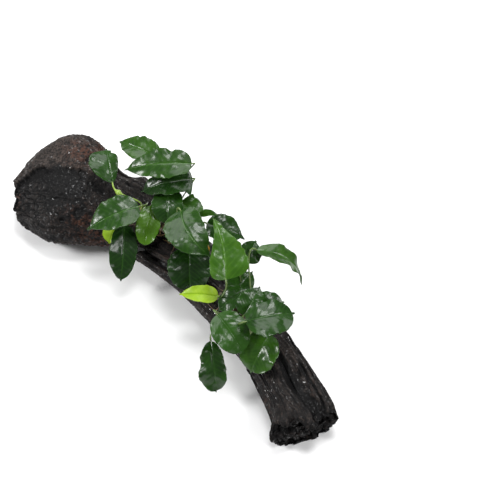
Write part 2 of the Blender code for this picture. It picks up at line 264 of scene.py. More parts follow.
class Painter:
    """Builds one material on a Principled shader."""

    def __init__(self, name: str, **values: float) -> None:
        """Makes the material.

        Args:
            name: Its name.
            values: The shader's plain numbers, by socket name with underscores for spaces.
        """
        self.material = bpy.data.materials.new(name)
        self.material.use_nodes = True
        self.tree = self.material.node_tree
        self.shader = self.tree.nodes["Principled BSDF"]
        for socket, value in values.items():
            self.shader.inputs[socket.replace("_", " ")].default_value = value

    def node(
        self, kind: str, settings: Optional[dict] = None, inputs: Optional[dict] = None, output: Any = 0
    ) -> Signal:
        """Adds a node.

        Args:
            kind: The node's type.
            settings: Its own settings, set before its sockets.
            inputs: The value or the Signal of each socket, by name or number.
            output: The output to give back, by name or number.

        Returns:
            That output.
        """
        made = self.tree.nodes.new(kind)
        for name, value in (settings or {}).items():
            setattr(made, name, value)
        for name, value in (inputs or {}).items():
            self.feed(made.inputs[name], value)
        return Signal(self, made.outputs[output])

    def feed(self, socket: bpy.types.NodeSocket, value: Any) -> None:
        """Links a Signal to a socket, or sets the socket's own value.

        Args:
            socket: The socket.
            value: The Signal, the number or the colour.
        """
        if isinstance(value, Signal):
            self.tree.links.new(value.socket, socket)
        elif isinstance(value, tuple) and socket.type == "RGBA":
            socket.default_value = (*value, 1.0)
        else:
            socket.default_value = value

    def paint(self, **sockets: Any) -> None:
        """Feeds the shader's sockets, by name with underscores for spaces."""
        for name, value in sockets.items():
            self.feed(self.shader.inputs[name.replace("_", " ")], value)

    def attribute(self, name: str, output: str = "Fac") -> Signal:
        """Reads what the mesh stores under a name."""
        return self.node("ShaderNodeAttribute", {"attribute_name": name}, output=output)

    def place(self) -> Signal:
        """Reads the place on the piece, in metres."""
        return self.node("ShaderNodeTexCoord", output="Object")

    def speckle(self, size: float, vector: Optional[Signal] = None, detail: float = 2.0) -> Signal:
        """Adds a noise of about one size.

        Args:
            size: How wide its spots are, in millimetres.
            vector: The place to read it at, in metres unless it is an attribute in millimetres.
            detail: How many finer layers it has.

        Returns:
            The noise, 0 to 1.
        """
        scale = 1.0 / size if vector else 1.0 / (size * MM)
        inputs = {"Vector": vector or self.place(), "Scale": scale, "Detail": detail}
        return self.node("ShaderNodeTexNoise", {}, inputs)

    def blend(self, factor: Any, first: Paint, second: Paint) -> Signal:
        """Mixes two colours.

        Args:
            factor: How much of the second colour there is, 0 to 1.
            first: The first colour.
            second: The second colour.

        Returns:
            The mixed colour.
        """
        made = self.tree.nodes.new("ShaderNodeMix")
        made.data_type = "RGBA"
        made.clamp_factor = True
        for name, value in (("Factor_Float", factor), ("A_Color", first), ("B_Color", second)):
            socket = next(item for item in made.inputs if item.identifier == name)
            self.feed(socket, value)
        return Signal(self, next(item for item in made.outputs if item.identifier == "Result_Color"))

    def bump(self, height: Signal, distance: float, strength: float) -> Signal:
        """Adds a bump whose height is in shares of a distance in millimetres."""
        inputs = {"Height": height, "Distance": distance * MM, "Strength": strength}
        return self.node("ShaderNodeBump", {}, inputs)


@dataclass(frozen=True)
class WetWood:
    """Soaked driftwood: painted near black as shade in its furrows, brown where worn, greyer where dry,
    rusty in patches.

    The sizes are those of its fibres, mottling, grit, light specks and wet glints, in millimetres.
    """

    name: str = "wet_driftwood"
    fibre_size: float = 0.8
    mottle_size: float = 5.0
    grit_size: float = 1.6
    speck_size: float = 1.3
    glint_size: float = 2.2
    dullness: float = 0.70
    bump_depth: float = 0.9
    bump_strength: float = 1.8
    # Near black: the painted shade in furrows, cracks and hollows, also used for the head's stains and dark
    # patch.
    shade_and_stain_black: Colour = (0.0016, 0.0015, 0.0017)
    heart: Colour = (0.0048, 0.0040, 0.0040)
    worn: Colour = (0.0260, 0.0195, 0.0165)
    pale: Colour = (0.0560, 0.0440, 0.0380)
    rust: Colour = (0.0620, 0.0240, 0.0140)
    speck: Colour = (0.2100, 0.1900, 0.1700)

    def material(self) -> bpy.types.Material:
        """Mixes the finish.

        Returns:
            The material.
        """
        paint = Painter(self.name, Coat_Roughness=0.12, Specular_IOR_Level=0.2)
        grain = paint.attribute("grain", "Vector")
        fibre = paint.speckle(self.fibre_size, grain, 3.0)
        mottle = paint.speckle(self.mottle_size, detail=6.0)
        grit = paint.speckle(self.grit_size, detail=3.0)
        cavity = paint.attribute("cavity")
        worn = (fibre * 0.6 + mottle * 0.4 + grit * 0.4).between(0.66, 0.84)
        colour = paint.blend(worn, self.heart, self.worn)
        flaked = grit.between(0.40, 0.58)
        colour = paint.blend(paint.attribute("pale") * (0.12 + 1.1 * flaked), colour, self.pale)
        stain = (mottle * 0.5 + grit * 0.5).between(0.44, 0.56)
        colour = paint.blend(paint.attribute("rust") * stain, colour, self.rust)
        # Painted shade: the furrows, cracks, pits, scoop, undercut and broken end darken toward near black,
        # along with the head's stains.
        colour = paint.blend(cavity.between(0.2, 0.85), colour, self.shade_and_stain_black)
        specks = paint.speckle(self.speck_size, detail=1.0).between(0.76, 0.80)
        colour = paint.blend(specks * 0.5, colour, self.speck)
        glint = paint.speckle(self.glint_size, detail=3.0).between(0.58, 0.66)
        paint.paint(
            Base_Color=colour,
            Roughness=self.dullness - 0.38 * glint,
            Coat_Weight=0.02 + 0.7 * glint,
            Normal=paint.bump(fibre * 0.6 + grit * 0.4, self.bump_depth, self.bump_strength),
        )
        return paint.material


class LeafTone(Enum):
    """The greens of the blades, from an old leaf to one that has just opened."""

    DARK = "dark"
    MID = "mid"
    YOUNG = "young"
    LIME = "lime"


@dataclass(frozen=True)
class LeafSkin:
    """A wet blade's upper side: its green, lighter along the ribs, with a waxy gloss and a clear coat."""

    tone: LeafTone
    shade: Colour
    light: Colour
    rib: Colour
    roughness: float = 0.22
    wetness: float = 0.05
    blemish: Colour = (0.62, 0.26, 0.02)
    mottle_size: float = 9.0
    grain_size: float = 0.7
    vein_share: float = 0.32
    midrib_share: float = 0.7
    margin_share: float = 0.35

    def material(self) -> bpy.types.Material:
        """Mixes the finish.

        Returns:
            The material.
        """
        paint = Painter(f"leaf_{self.tone.value}", Coat_Roughness=0.10, Specular_IOR_Level=0.32)
        mottle = paint.speckle(self.mottle_size, detail=3.0)
        grain = paint.speckle(self.grain_size, detail=2.0)
        vigour = paint.attribute("vigour")
        light = (mottle * 0.9 + vigour - 0.45).between(0.1, 0.9)
        colour = paint.blend(light, self.shade, self.light)
        ribs = paint.attribute("vein") * self.vein_share + paint.attribute("midrib") * self.midrib_share
        colour = paint.blend(ribs, colour, self.rib)
        # A paler rim along the margins: partly the leaf's lighter edge, partly a painted highlight where
        # light catches the edge.
        colour = paint.blend(paint.attribute("margin") * self.margin_share, colour, self.light)
        colour = paint.blend(paint.attribute("blemish"), colour, self.blemish)
        paint.paint(
            Base_Color=colour,
            Roughness=self.roughness + 0.08 * mottle,
            Coat_Weight=self.wetness * (0.6 + 0.4 * mottle),
            Normal=paint.bump(grain, 0.06, 0.6),
        )
        return paint.material


@dataclass(frozen=True)
class LeafUnderside:
    """A blade's underside: paler and duller than its face."""

    tone: LeafTone
    colour: Colour

    def material(self) -> bpy.types.Material:
        """Mixes the finish.

        Returns:
            The material.
        """
        paint = Painter(f"leaf_{self.tone.value}_underside", Specular_IOR_Level=0.4)
        mottle = paint.speckle(6.0, detail=3.0)
        darker = tuple(0.6 * part for part in self.colour)
        colour = paint.blend(mottle.between(0.3, 0.7), darker, self.colour)
        ribs = paint.attribute("midrib") * 0.6 + paint.attribute("vein") * 0.3
        colour = paint.blend(ribs, colour, tuple(1.6 * part for part in self.colour))
        paint.paint(Base_Color=colour, Roughness=0.5 + 0.1 * mottle)
        return paint.material


@dataclass(frozen=True)
class StalkSkin:
    """A stalk: brownish at its foot and dark green above, or yellow green all over where it is fresh."""

    name: str = "stalk_skin"
    fresh: Colour = (0.240, 0.380, 0.035)
    foot: Colour = (0.040, 0.042, 0.012)
    upper: Colour = (0.080, 0.135, 0.020)
    streak: Colour = (0.040, 0.070, 0.012)

    def material(self) -> bpy.types.Material:
        """Mixes the finish.

        Returns:
            The material.
        """
        paint = Painter(self.name, Coat_Roughness=0.2, Coat_Weight=0.35)
        streak = paint.speckle(2.5, detail=3.0)
        height = paint.attribute("share").between(0.0, 0.8)
        colour = paint.blend(height, self.foot, self.upper)
        colour = paint.blend(streak.between(0.5, 0.75) * 0.45, colour, self.streak)
        colour = paint.blend(paint.attribute("fresh") * (0.6 + 0.4 * streak), colour, self.fresh)
        paint.paint(Base_Color=colour, Roughness=0.36 + 0.1 * streak)
        return paint.material


@dataclass(frozen=True)
class StemBark:
    """A creeping stem: damp olive brown, with a paler ring at each old leaf scar and a green tip."""

    name: str = "stem_bark"
    bark: Colour = (0.080, 0.052, 0.018)
    scar: Colour = (0.270, 0.170, 0.060)
    tip: Colour = (0.120, 0.200, 0.030)

    def material(self) -> bpy.types.Material:
        """Mixes the finish.

        Returns:
            The material.
        """
        paint = Painter(self.name, Coat_Roughness=0.25, Coat_Weight=0.3)
        mottle = paint.speckle(2.2, detail=4.0)
        colour = paint.blend(mottle.between(0.35, 0.7), tuple(0.4 * part for part in self.bark), self.bark)
        colour = paint.blend(paint.attribute("scar") * mottle, colour, self.scar)
        colour = paint.blend(paint.attribute("share").between(0.72, 1.0), colour, self.tip)
        paint.paint(Base_Color=colour, Roughness=0.42 + 0.2 * mottle, Normal=paint.bump(mottle, 0.5, 0.7))
        return paint.material


@dataclass(frozen=True)
class RootSkin:
    """Wiry roots: tan where fresh, dark brown where old."""

    name: str = "root_skin"
    old: Colour = (0.040, 0.022, 0.010)
    fresh: Colour = (0.250, 0.150, 0.060)

    def material(self) -> bpy.types.Material:
        """Mixes the finish.

        Returns:
            The material.
        """
        paint = Painter(self.name, Coat_Roughness=0.25, Coat_Weight=0.25)
        mottle = paint.speckle(3.0, detail=3.0)
        age = (paint.attribute("share") + mottle - 0.5).between(0.0, 0.8)
        paint.paint(Base_Color=paint.blend(age, self.fresh, self.old), Roughness=0.45 + 0.2 * mottle)
        return paint.material


@dataclass(frozen=True)
class PalePaper:
    """The plain white ground that the object lies on."""

    name: str = "white_ground"
    white: float = 0.9

    def material(self) -> bpy.types.Material:
        """Mixes the finish.

        Returns:
            The material.
        """
        paint = Painter(self.name, Roughness=0.9, Specular_IOR_Level=0.1)
        cloud = paint.speckle(400.0)
        pale = (self.white, self.white, self.white)
        dim = (0.985 * self.white, 0.985 * self.white, 0.99 * self.white)
        paint.paint(Base_Color=paint.blend(cloud, pale, dim))
        return paint.material


def put_in_scene(
    name: str, mesh: bpy.types.Mesh, materials: Sequence[bpy.types.Material]
) -> bpy.types.Object:
    """Makes an object of a mesh, smooth, at the origin.

    Args:
        name: The piece's name.
        mesh: Its mesh, already in place.
        materials: Its finishes, in the order of its material numbers.

    Returns:
        The object.
    """
    mesh.shade_smooth()
    for material in materials:
        mesh.materials.append(material)
    piece = bpy.data.objects.new(name, mesh)
    bpy.context.scene.collection.objects.link(piece)
    return piece


def dress(piece: bpy.types.Object, slot: str, *nodes: str) -> bpy.types.Object:
    """Fixes a piece to the object.

    Args:
        piece: The piece.
        slot: Not used.
        nodes: The solids that it stands for.

    Returns:
        The piece.
    """
    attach(piece, BODY)
    if nodes:
        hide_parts(*nodes)
    return piece


@dataclass
class RoundForm:
    """A sphere's rings, ready to be bent into a branch, a stem or a root."""

    name: str
    sides: int
    rings: int

    def __post_init__(self) -> None:
        """Makes the sphere and notes where each of its vertices lies."""
        shell = bmesh.new()
        bmesh.ops.create_uvsphere(shell, u_segments=self.sides, v_segments=self.rings, radius=1.0)
        bmesh.ops.reverse_faces(shell, faces=shell.faces)
        self.mesh = bpy.data.meshes.new(self.name)
        shell.to_mesh(self.mesh)
        shell.free()
        places = read_places(self.mesh)
        self.down = np.arccos(np.clip(places[:, 2], -1.0, 1.0)) / math.pi
        self.angle = np.degrees(np.arctan2(places[:, 1], places[:, 0])) % 360

    def along(self, end_share: float) -> Array:
        """Returns each vertex's share of the length, where a share of the rings at each end are its cap."""
        return np.clip((self.down - end_share) / (1 - 2 * end_share), 0.0, 1.0)


@dataclass(frozen=True)
class Station:
    """A cross-section of the wood: its centre on plan, its reach to each side, its top and its underside."""

    x: float
    y: float
    reach: float
    top: float
    bottom: float


@dataclass(frozen=True)
class Relief:
    """A swelling, or with a negative height a hollow, at one place along and around a piece of wood."""

    along: float
    angle: float
    height: float
    length: float
    spread: float


@dataclass(frozen=True)
class Crack:
    """A long split in the wood, from one place along and around it to another, with its width and depth."""

    along: float
    angle: float
    end_along: float
    end_angle: float
    width: float
    depth: float


@dataclass(frozen=True)
class Patch:
    """A roundish patch on plan: its middle, its half length, its half width and how far it is turned."""

    x: float
    y: float
    length: float
    width: float
    turn: float = 0.0

    def share(self, places: Array) -> Array:
        """Measures how far some places are in the patch.

        Args:
            places: The places, one row each.

        Returns:
            A share for each, 1 at the patch's middle and fading past its rim.
        """
        turn = math.radians(self.turn)
        dx = places[:, 0] - self.x
        dy = places[:, 1] - self.y
        lengthwise = (dx * math.cos(turn) + dy * math.sin(turn)) / self.length
        sideways = (dy * math.cos(turn) - dx * math.sin(turn)) / self.width
        return np.exp(-(lengthwise**2) - sideways**2)


@dataclass
class DriftwoodArm:
    """One arm of the driftwood, with the furrows, splits and splinters of its surface.

    The cross-sections, reliefs, furrow sets, jag sets and slants are close to the solid model's. A furrow
    set is (count around, depth as a share of the radius, start turn, turns from end to end), and a jag set
    is (count around, reach, start turn).
    """

    name: str
    node: str
    stations: tuple[Station, ...]
    reliefs: tuple[Relief, ...]
    furrows: tuple[tuple[int, float, float, float], ...]
    jags: tuple[tuple[int, float, float], ...]
    bend_span: float
    start_slant: tuple[float, float]
    end_slant: tuple[float, float]
    squareness: float
    sides: int
    rings: int
    radius: float
    cracks: tuple[Crack, ...] = ()

    def read(self, field: str, share: Array) -> Array:
        """Reads one measure of the cross-sections along the arm."""
        return spline([getattr(station, field) for station in self.stations], share)

    def reach_of_end(self, angle: Array, slant: tuple[float, float]) -> Array:
        """Measures how far an end's rim stands out, from its slant and its splinters.

        Args:
            angle: The angles around it.
            slant: How far the end slants, and the angle at which it is longest.

        Returns:
            The reach at each angle, in millimetres.
        """
        splinters = np.zeros(len(angle))
        for count, reach, start in self.jags:
            splinters += reach * np.sin(2 * math.pi * (count * angle / 360 + start))
        upper_share = (1 + np.sin(np.radians(angle))) / 2
        return splinters * upper_share + slant[0] * np.cos(np.radians(angle - slant[1]))

    def large_relief(self, along: Array, angle: Array) -> Array:
        """Measures how far the surface lies outside its plain section.

        Args:
            along: The shares along the arm.
            angle: The angles around it.

        Returns:
            The heights, as shares of the radius.
        """
        height = np.zeros(len(along))
        for relief in self.reliefs:
            lengthwise = (along - relief.along) / relief.length
            around = angle_between(angle, relief.angle) / relief.spread
            height += relief.height * np.exp(-(lengthwise**2) - around**2)
        for count, depth, start, drift in self.furrows:
            turn = count * (angle / 360 + start) + drift * count * along
            height -= depth * (1 - np.abs(np.sin(math.pi * turn))) ** 2
        return height

    def large_form(self, form: RoundForm) -> tuple[Array, Array, Array]:
        """Bends a sphere's rings into the arm's large form.

        Args:
            form: The sphere.

        Returns:
            The places, the shares along the arm, and the shares out from an end's middle to its rim.
        """
        share = np.minimum(1.0, np.minimum(form.down, 1 - form.down) / END_SHARE)
        share = np.sin(share * math.pi / 2) ** END_ROUNDNESS
        along = form.along(END_SHARE)
        angle = form.angle
        top = self.read("top", along)
        bottom = self.read("bottom", along)
        step_x = self.read("x", along + self.bend_span) - self.read("x", along - self.bend_span)
        step_y = self.read("y", along + self.bend_span) - self.read("y", along - self.bend_span)
        forward = np.stack((step_x, step_y), axis=1) / np.hypot(step_x, step_y)[:, None]
        turn = np.radians(angle)
        power = 2 / self.squareness
        across = np.sign(np.cos(turn)) * np.abs(np.cos(turn)) ** power
        upward = np.sign(np.sin(turn)) * np.abs(np.sin(turn)) ** power
        out = share * (1 + self.large_relief(along, angle))
        sideways = across * self.read("reach", along) * out
        back = self.reach_of_end(angle, self.start_slant) * share * smooth_step(1 - along / END_REACH)
        ahead = self.reach_of_end(angle, self.end_slant) * share * smooth_step(1 - (1 - along) / END_REACH)
        x = self.read("x", along) - forward[:, 1] * sideways + forward[:, 0] * (ahead - back)
        y = self.read("y", along) + forward[:, 0] * sideways + forward[:, 1] * (ahead - back)
        z = np.maximum(0.0, (top + bottom) / 2 + upward * (top - bottom) / 2 * out)
        return np.stack((x, y, z), axis=1), along, share

    def grain(self, along: Array, angle: Array) -> Array:
        """Measures places by the wood's grain.

        Args:
            along: The shares along the arm.
            angle: The angles around it.

        Returns:
            A row for each place: the distance along the grain, and two distances across it.
        """
        length = sum(
            math.hypot(ahead.x - here.x, ahead.y - here.y)
            for here, ahead in zip(self.stations, self.stations[1:])
        )
        turn = np.radians(angle)
        return np.stack((along * length, self.radius * np.cos(turn), self.radius * np.sin(turn)), axis=1)

    def crack_depth(self, along: Array, angle: Array, wander: Array) -> Array:
        """Returns how deep the named splits are at each place.

        Args:
            along: The shares along the arm.
            angle: The angles around it.
            wander: A smooth random number that bends the splits.

        Returns:
            The depths, in millimetres.
        """
        depth = np.zeros(len(along))
        for crack in self.cracks:
            share = (along - crack.along) / (crack.end_along - crack.along)
            middle = crack.angle + (crack.end_angle - crack.angle) * share + CRACK_WANDER * wander
            aside = np.radians(angle_between(angle, middle)) * self.radius / crack.width
            within = smooth_step(share / CRACK_FADE) * smooth_step((1 - share) / CRACK_FADE)
            depth = np.maximum(depth, crack.depth * within * np.exp(-np.abs(aside) ** CRACK_SHARPNESS))
        return depth

    def weathering(self, places: Array, along: Array, angle: Array, share: Array) -> tuple[Array, Notes]:
        """Wears the surface. Each arm has its own way.

        Args:
            places: The places, one row each.
            along: Their shares along the arm.
            angle: Their angles around it.
            share: Their shares out from an end's middle to its rim.

        Returns:
            How deep each place is worn, in millimetres, and the numbers that the finish reads.
        """
        raise NotImplementedError

    def build(self, finish: bpy.types.Material) -> bpy.types.Object:
        """Builds the arm and dresses it.

        Args:
            finish: The wood's material.

        Returns:
            The piece.
        """
        form = RoundForm(self.name, self.sides, self.rings)
        places, along, share = self.large_form(form)
        write_places(form.mesh, places)
        depth, notes = self.weathering(places, along, form.angle, share)
        places -= read_normals(form.mesh) * depth[:, None]
        places[:, 2] = np.maximum(0.0, places[:, 2])
        write_places(form.mesh, places)
        for name, values in notes.items():
            store(form.mesh, name, values)
        return dress(put_in_scene(self.name, form.mesh, [finish]), "driftwood", self.node)


def stretched(grain: Array, stretch: float) -> Array:
    """Returns grain places drawn out along the grain, so that what is read there is long and narrow."""
    return grain / np.array((stretch, 1.0, 1.0))


@dataclass
class Limb(DriftwoodArm):
    """The long arm: straight-grained, split into planks and ridges, broken off rough at its far end."""

    ridge_depth: float = 1.6
    fibre_depth: float = 0.75
    plank_depth: float = 0.45
    planks: float = 3.0
    end_start: float = 0.94
    end_span: float = 0.06
    end_depth: float = 4.0
    chunk_size: float = 4.5
    chip_depth: float = 2.2
    boss: Relief = Relief(along=0.89, angle=138, height=1.0, length=0.075, spread=34)

    def weathering(self, places: Array, along: Array, angle: Array, share: Array) -> tuple[Array, Notes]:
        """Splits the surface into planks and ridges, and breaks it off at the far end.

        Args:
            places: The places, one row each.
            along: Their shares along the arm.
            angle: Their angles around it.
            share: Their shares out from an end's middle to its rim.

        Returns:
            How deep each place is worn, in millimetres, and the numbers that the finish reads.
        """
        grain = self.grain(along, angle)
        wander = smooth_noise(grain, 30.0)
        warped = grain + np.stack((0 * wander, 3 * wander, 3 * wander), axis=1)
        ridges = ridged_noise(stretched(warped, 14.0), 5.0)
        fibres = ridged_noise(stretched(warped, 22.0) + 40, 1.7)
        layers = smooth_noise(stretched(warped, 8.0) + 90, 9.0)
        ledge = smooth_step((layers * self.planks) % 1.0 / 0.12) + np.floor(layers * self.planks)
        end = np.where(along > 0.5, 1 - share, 0.0)
        near_end = smooth_step((along - self.end_start) / self.end_span)
        around = angle_between(angle, self.boss.angle) / self.boss.spread
        worn_smooth = np.exp(-(((along - self.boss.along) / self.boss.length) ** 2) - around**2)
        borders, chunks = cells(places, self.chunk_size)
        broken = self.end_depth * near_end * (0.4 + 0.6 * chunks) * smooth_step(end / 0.08 + 0.2)
        broken += self.chip_depth * near_end * (1 - smooth_step(borders / 0.35))
        cracks = self.crack_depth(along, angle, wander)
        depth = self.ridge_depth * ridges**2 + self.fibre_depth * fibres**2 - self.plank_depth * ledge + 0.7
        depth *= (1 - near_end * smooth_step(end / 0.1)) * (1 - 0.85 * worn_smooth)
        depth = np.maximum(0.0, depth) + cracks + broken - self.boss.height * worn_smooth
        # Painted shade: darker in the ridges' furrows, the fibres and the cracks, and toward the broken end.
        cavity = 0.65 * ridges**3 + 0.5 * fibres**3 + cracks / 2.0 + near_end * 0.45
        cavity = np.clip(cavity * (1 - 0.7 * worn_smooth), 0, 1)
        pale = smooth_step(layers * 1.6) * (1 - cavity) * 0.35
        rust = smooth_step(smooth_noise(places, 26.0) * 2 - 0.5) * 0.3
        return depth, {"grain": stretched(warped, 12.0), "cavity": cavity, "pale": pale, "rust": rust}


@dataclass
class Head(DriftwoodArm):
    """The broad arm: a worn plate above, a streaked scoop in its cut end painted dark as shade, and pitted
    wood between.

    Its ledge runs through some points on plan, its neck narrows toward the fork, and skew is the slope of
    its streaks on plan. A hollow is a patch and how deep it is.
    """

    ledge: tuple[tuple[float, float], ...] = ()
    ledge_depth: float = 4.5
    ledge_width: float = 1.3
    undercut_reach: float = 20.0
    pit_depth: float = 1.2
    pit_size: float = 3.2
    lump_depth: float = 1.1
    decay_depth: float = 0.9
    streak_depth: float = 2.4
    skew: float = 0.24
    neck_depth: float = 1.8
    neck_start: float = -135.0
    neck_length: float = 25.0
    rust_patches: tuple[Patch, ...] = ()
    hollows: tuple[tuple[Patch, float], ...] = ()
    scoop: Patch = Patch(-196, 28, 30, 26)
    # A patch painted darker, through the same mask as the painted shade.
    dark_patch: Patch = Patch(-160, 22, 26, 24)
    lower_rim: Patch = Patch(-182, -12, 24, 9, -12)

    def weathering(self, places: Array, along: Array, angle: Array, share: Array) -> tuple[Array, Notes]:
        """Undercuts the ledge, streaks the scoop, ridges the neck and pits the rest.

        Args:
            places: The places, one row each.
            along: Their shares along the arm.
            angle: Their angles around it.
            share: Their shares out from an end's middle to its rim.

        Returns:
            How deep each place is worn, in millimetres, and the numbers that the finish reads.
        """
        neck = smooth_step((places[:, 0] - self.neck_start) / self.neck_length)
        along_neck = self.grain(along, angle)
        across = places[:, 1] + self.skew * places[:, 0]
        lengthwise = places[:, 0] - self.skew * places[:, 1]
        on_plan = np.stack((lengthwise, across, places[:, 2]), axis=1)
        wander = smooth_noise(places, 22.0)
        streaks = ridged_noise(stretched(on_plan + wander[:, None] * 2.5, 9.0), 3.4)
        neck_ridges = ridged_noise(stretched(along_neck, 7.0), 4.0)
        scoop = np.clip(self.scoop.share(places) * 1.6, 0, 1)
        ledge_x = [point[0] for point in self.ledge]
        ledge_y = [point[1] for point in self.ledge]
        lumps = smooth_noise(places, 7.0, 3)
        below = np.interp(places[:, 0], ledge_x, ledge_y) + 2.4 * wander + 2.2 * lumps - places[:, 1]
        upper_side = smooth_step((places[:, 2] - 18) / 14)
        past_edge = smooth_step(below / self.ledge_width)
        undercut = past_edge * upper_side * smooth_step((-136 - places[:, 0]) / 22)
        undercut *= np.exp(-np.maximum(below, 0) / self.undercut_reach)
        plate = (1 - past_edge) * upper_side * (1 - neck)
        borders, chunks = cells(places + wander[:, None] * 1.5, self.pit_size)
        pits = (1 - smooth_step(borders / 0.5)) * 0.6
        pits += smooth_step((chunks - 0.6) / 0.2) * smooth_step(borders / 0.4)
        pitted = (1 - scoop) * (1 - 0.55 * plate) * (1 - 0.6 * neck)
        decay = smooth_step(smooth_noise(places + 50, 12.0, 3) * 2.4 - 0.2) * (1 - scoop)
        depth = self.ledge_depth * undercut
        depth += pitted * (self.pit_depth * pits + self.lump_depth * np.abs(lumps))
        depth += scoop * (self.streak_depth * streaks**2 + 0.4)
        depth += neck * (self.neck_depth * neck_ridges**2) + self.decay_depth * decay
        depth += plate * (0.6 * np.abs(lumps)) + 0.15
        depth += sum(patch.share(places) * height for patch, height in self.hollows)
        # Painted shade under the ledge, in the scoop and its streaks, in the pits and in the neck's furrows.
        # The dark patch is painted darker too; the decayed stains are the wood's own.
        dark_patch = self.dark_patch.share(places) * upper_side
        cavity = 0.75 * undercut + scoop * (0.15 + 0.85 * streaks**2) + pitted * 0.7 * pits
        cavity += neck * 0.6 * neck_ridges**2 + 0.35 * dark_patch + 0.5 * decay
        pale = np.clip(plate * (0.6 + 0.5 * lumps) + 0.3 * neck * (1 - neck_ridges), 0, 1)
        pale = np.clip(pale + 0.4 * self.lower_rim.share(places) * (1 - streaks), 0, 1)
        rust = np.clip(sum(patch.share(places) for patch in self.rust_patches), 0, 1)
        fine = stretched(on_plan, 7.0) * (1 - neck)[:, None] + stretched(along_neck, 7.0) * neck[:, None]
        return depth, {"grain": fine, "cavity": np.clip(cavity, 0, 1), "pale": pale, "rust": rust}


def driftwood_arms() -> tuple[Limb, Head]:
    """Measures out the driftwood, close to the solid model's.

    Returns:
        The limb and the head.
    """
    limb = Limb(
        name="limb_wood",
        node="driftwood_limb",
        stations=(
            Station(x=-78, y=-8, reach=23, top=34, bottom=3),
            Station(x=-61, y=-20, reach=27, top=39, bottom=1),
            Station(x=-40, y=-40, reach=26, top=41, bottom=-2),
            Station(x=-19, y=-68, reach=23, top=40, bottom=-3),
            Station(x=5, y=-99, reach=23, top=39, bottom=-2),
            Station(x=21, y=-124, reach=24, top=38, bottom=0),
            Station(x=33, y=-148, reach=25, top=38, bottom=-2),
            Station(x=42, y=-169, reach=26, top=37, bottom=-3),
            Station(x=45, y=-182, reach=25, top=34, bottom=-2),
        ),
        reliefs=(
            Relief(along=0.92, angle=128, height=0.10, length=0.08, spread=26),
            Relief(along=0.78, angle=76, height=-0.14, length=0.20, spread=9),
            Relief(along=0.12, angle=148, height=-0.16, length=0.22, spread=8),
            Relief(along=0.66, angle=44, height=-0.10, length=0.16, spread=8),
            Relief(along=0.96, angle=162, height=0.34, length=0.08, spread=34),
            Relief(along=0.96, angle=14, height=0.07, length=0.06, spread=24),
            Relief(along=0.99, angle=66, height=-0.10, length=0.05, spread=20),
        ),
        furrows=((4, 0.045, 0.20, 0.10), (7, 0.060, 0.45, -0.12), (12, 0.050, 0.10, 0.08)),
        jags=((4, 3.5, 0.3), (9, 3.0, 0.1)),
        bend_span=0.06,
        start_slant=(15, 195),
        end_slant=(5, 190),
        squareness=2.6,
        sides=230,
        rings=380,
        radius=24,
        cracks=(
            Crack(along=0.56, angle=90, end_along=0.97, end_angle=80, width=2.2, depth=5.0),
            Crack(along=-0.05, angle=150, end_along=0.38, end_angle=144, width=1.4, depth=3.5),
            Crack(along=0.55, angle=40, end_along=0.99, end_angle=34, width=1.2, depth=3.0),
            Crack(along=0.50, angle=142, end_along=0.84, end_angle=146, width=1.2, depth=2.5),
            Crack(along=0.66, angle=62, end_along=1.02, end_angle=58, width=1.0, depth=2.5),
            Crack(along=0.10, angle=100, end_along=0.45, end_angle=112, width=1.2, depth=2.5),
            Crack(along=0.20, angle=200, end_along=0.70, end_angle=190, width=1.2, depth=2.5),
            Crack(along=0.30, angle=330, end_along=0.90, end_angle=340, width=1.3, depth=2.5),
        ),
    )
    head = Head(
        name="head_wood",
        node="driftwood_head",
        stations=(
            Station(x=-211.8, y=39, reach=22, top=35, bottom=9),
            Station(x=-201, y=40, reach=35, top=45, bottom=4),
            Station(x=-184, y=44, reach=47, top=57, bottom=-1),
            Station(x=-166, y=46, reach=56, top=64, bottom=-4),
            Station(x=-148, y=44, reach=55, top=62, bottom=-4),
            Station(x=-128, y=33, reach=45, top=54, bottom=-1),
            Station(x=-108, y=22, reach=36, top=47, bottom=4),
            Station(x=-88, y=14, reach=28, top=43, bottom=6),
            Station(x=-70, y=5, reach=24, top=40, bottom=6),
            Station(x=-54, y=-6, reach=18, top=34, bottom=8),
        ),
        reliefs=(
            Relief(along=0.14, angle=125, height=-0.15, length=0.12, spread=34),
            Relief(along=0.20, angle=78, height=-0.15, length=0.13, spread=11),
            Relief(along=0.30, angle=52, height=0.06, length=0.20, spread=14),
            Relief(along=0.66, angle=14, height=0.16, length=0.03, spread=18),
            Relief(along=0.60, angle=30, height=-0.08, length=0.03, spread=22),
            Relief(along=0.10, angle=178, height=-0.10, length=0.05, spread=18),
        ),
        furrows=((5, 0.050, 0.10, 0.12), (9, 0.045, 0.35, -0.10), (14, 0.030, 0.05, 0.08)),
        jags=((3, 0.8, 0.2), (7, 0.8, 0.6)),
        bend_span=0.30,
        start_slant=(1.6, 120),
        end_slant=(0, 0),
        squareness=2.2,
        sides=300,
        rings=300,
        radius=45,
        ledge=((-205, 50), (-192, 56), (-169, 50), (-154, 46.5), (-139, 44)),
        rust_patches=(
            Patch(-148, 64, 14, 14, 20),
            Patch(-132, 76, 8, 12),
            Patch(-146, 1, 16, 10, -20),
            Patch(-124, -6, 12, 9, -10),
            Patch(-208, 30, 5, 8),
        ),
        hollows=(
            (Patch(-121, 68, 13, 20, 35), 12.0),
            (Patch(-205, 57, 4, 5), 3.0),
            (Patch(-182, 74, 24, 10, 40), -2.5),
            (Patch(-162, 82, 13, 9), -2.0),
        ),
    )
    return limb, head


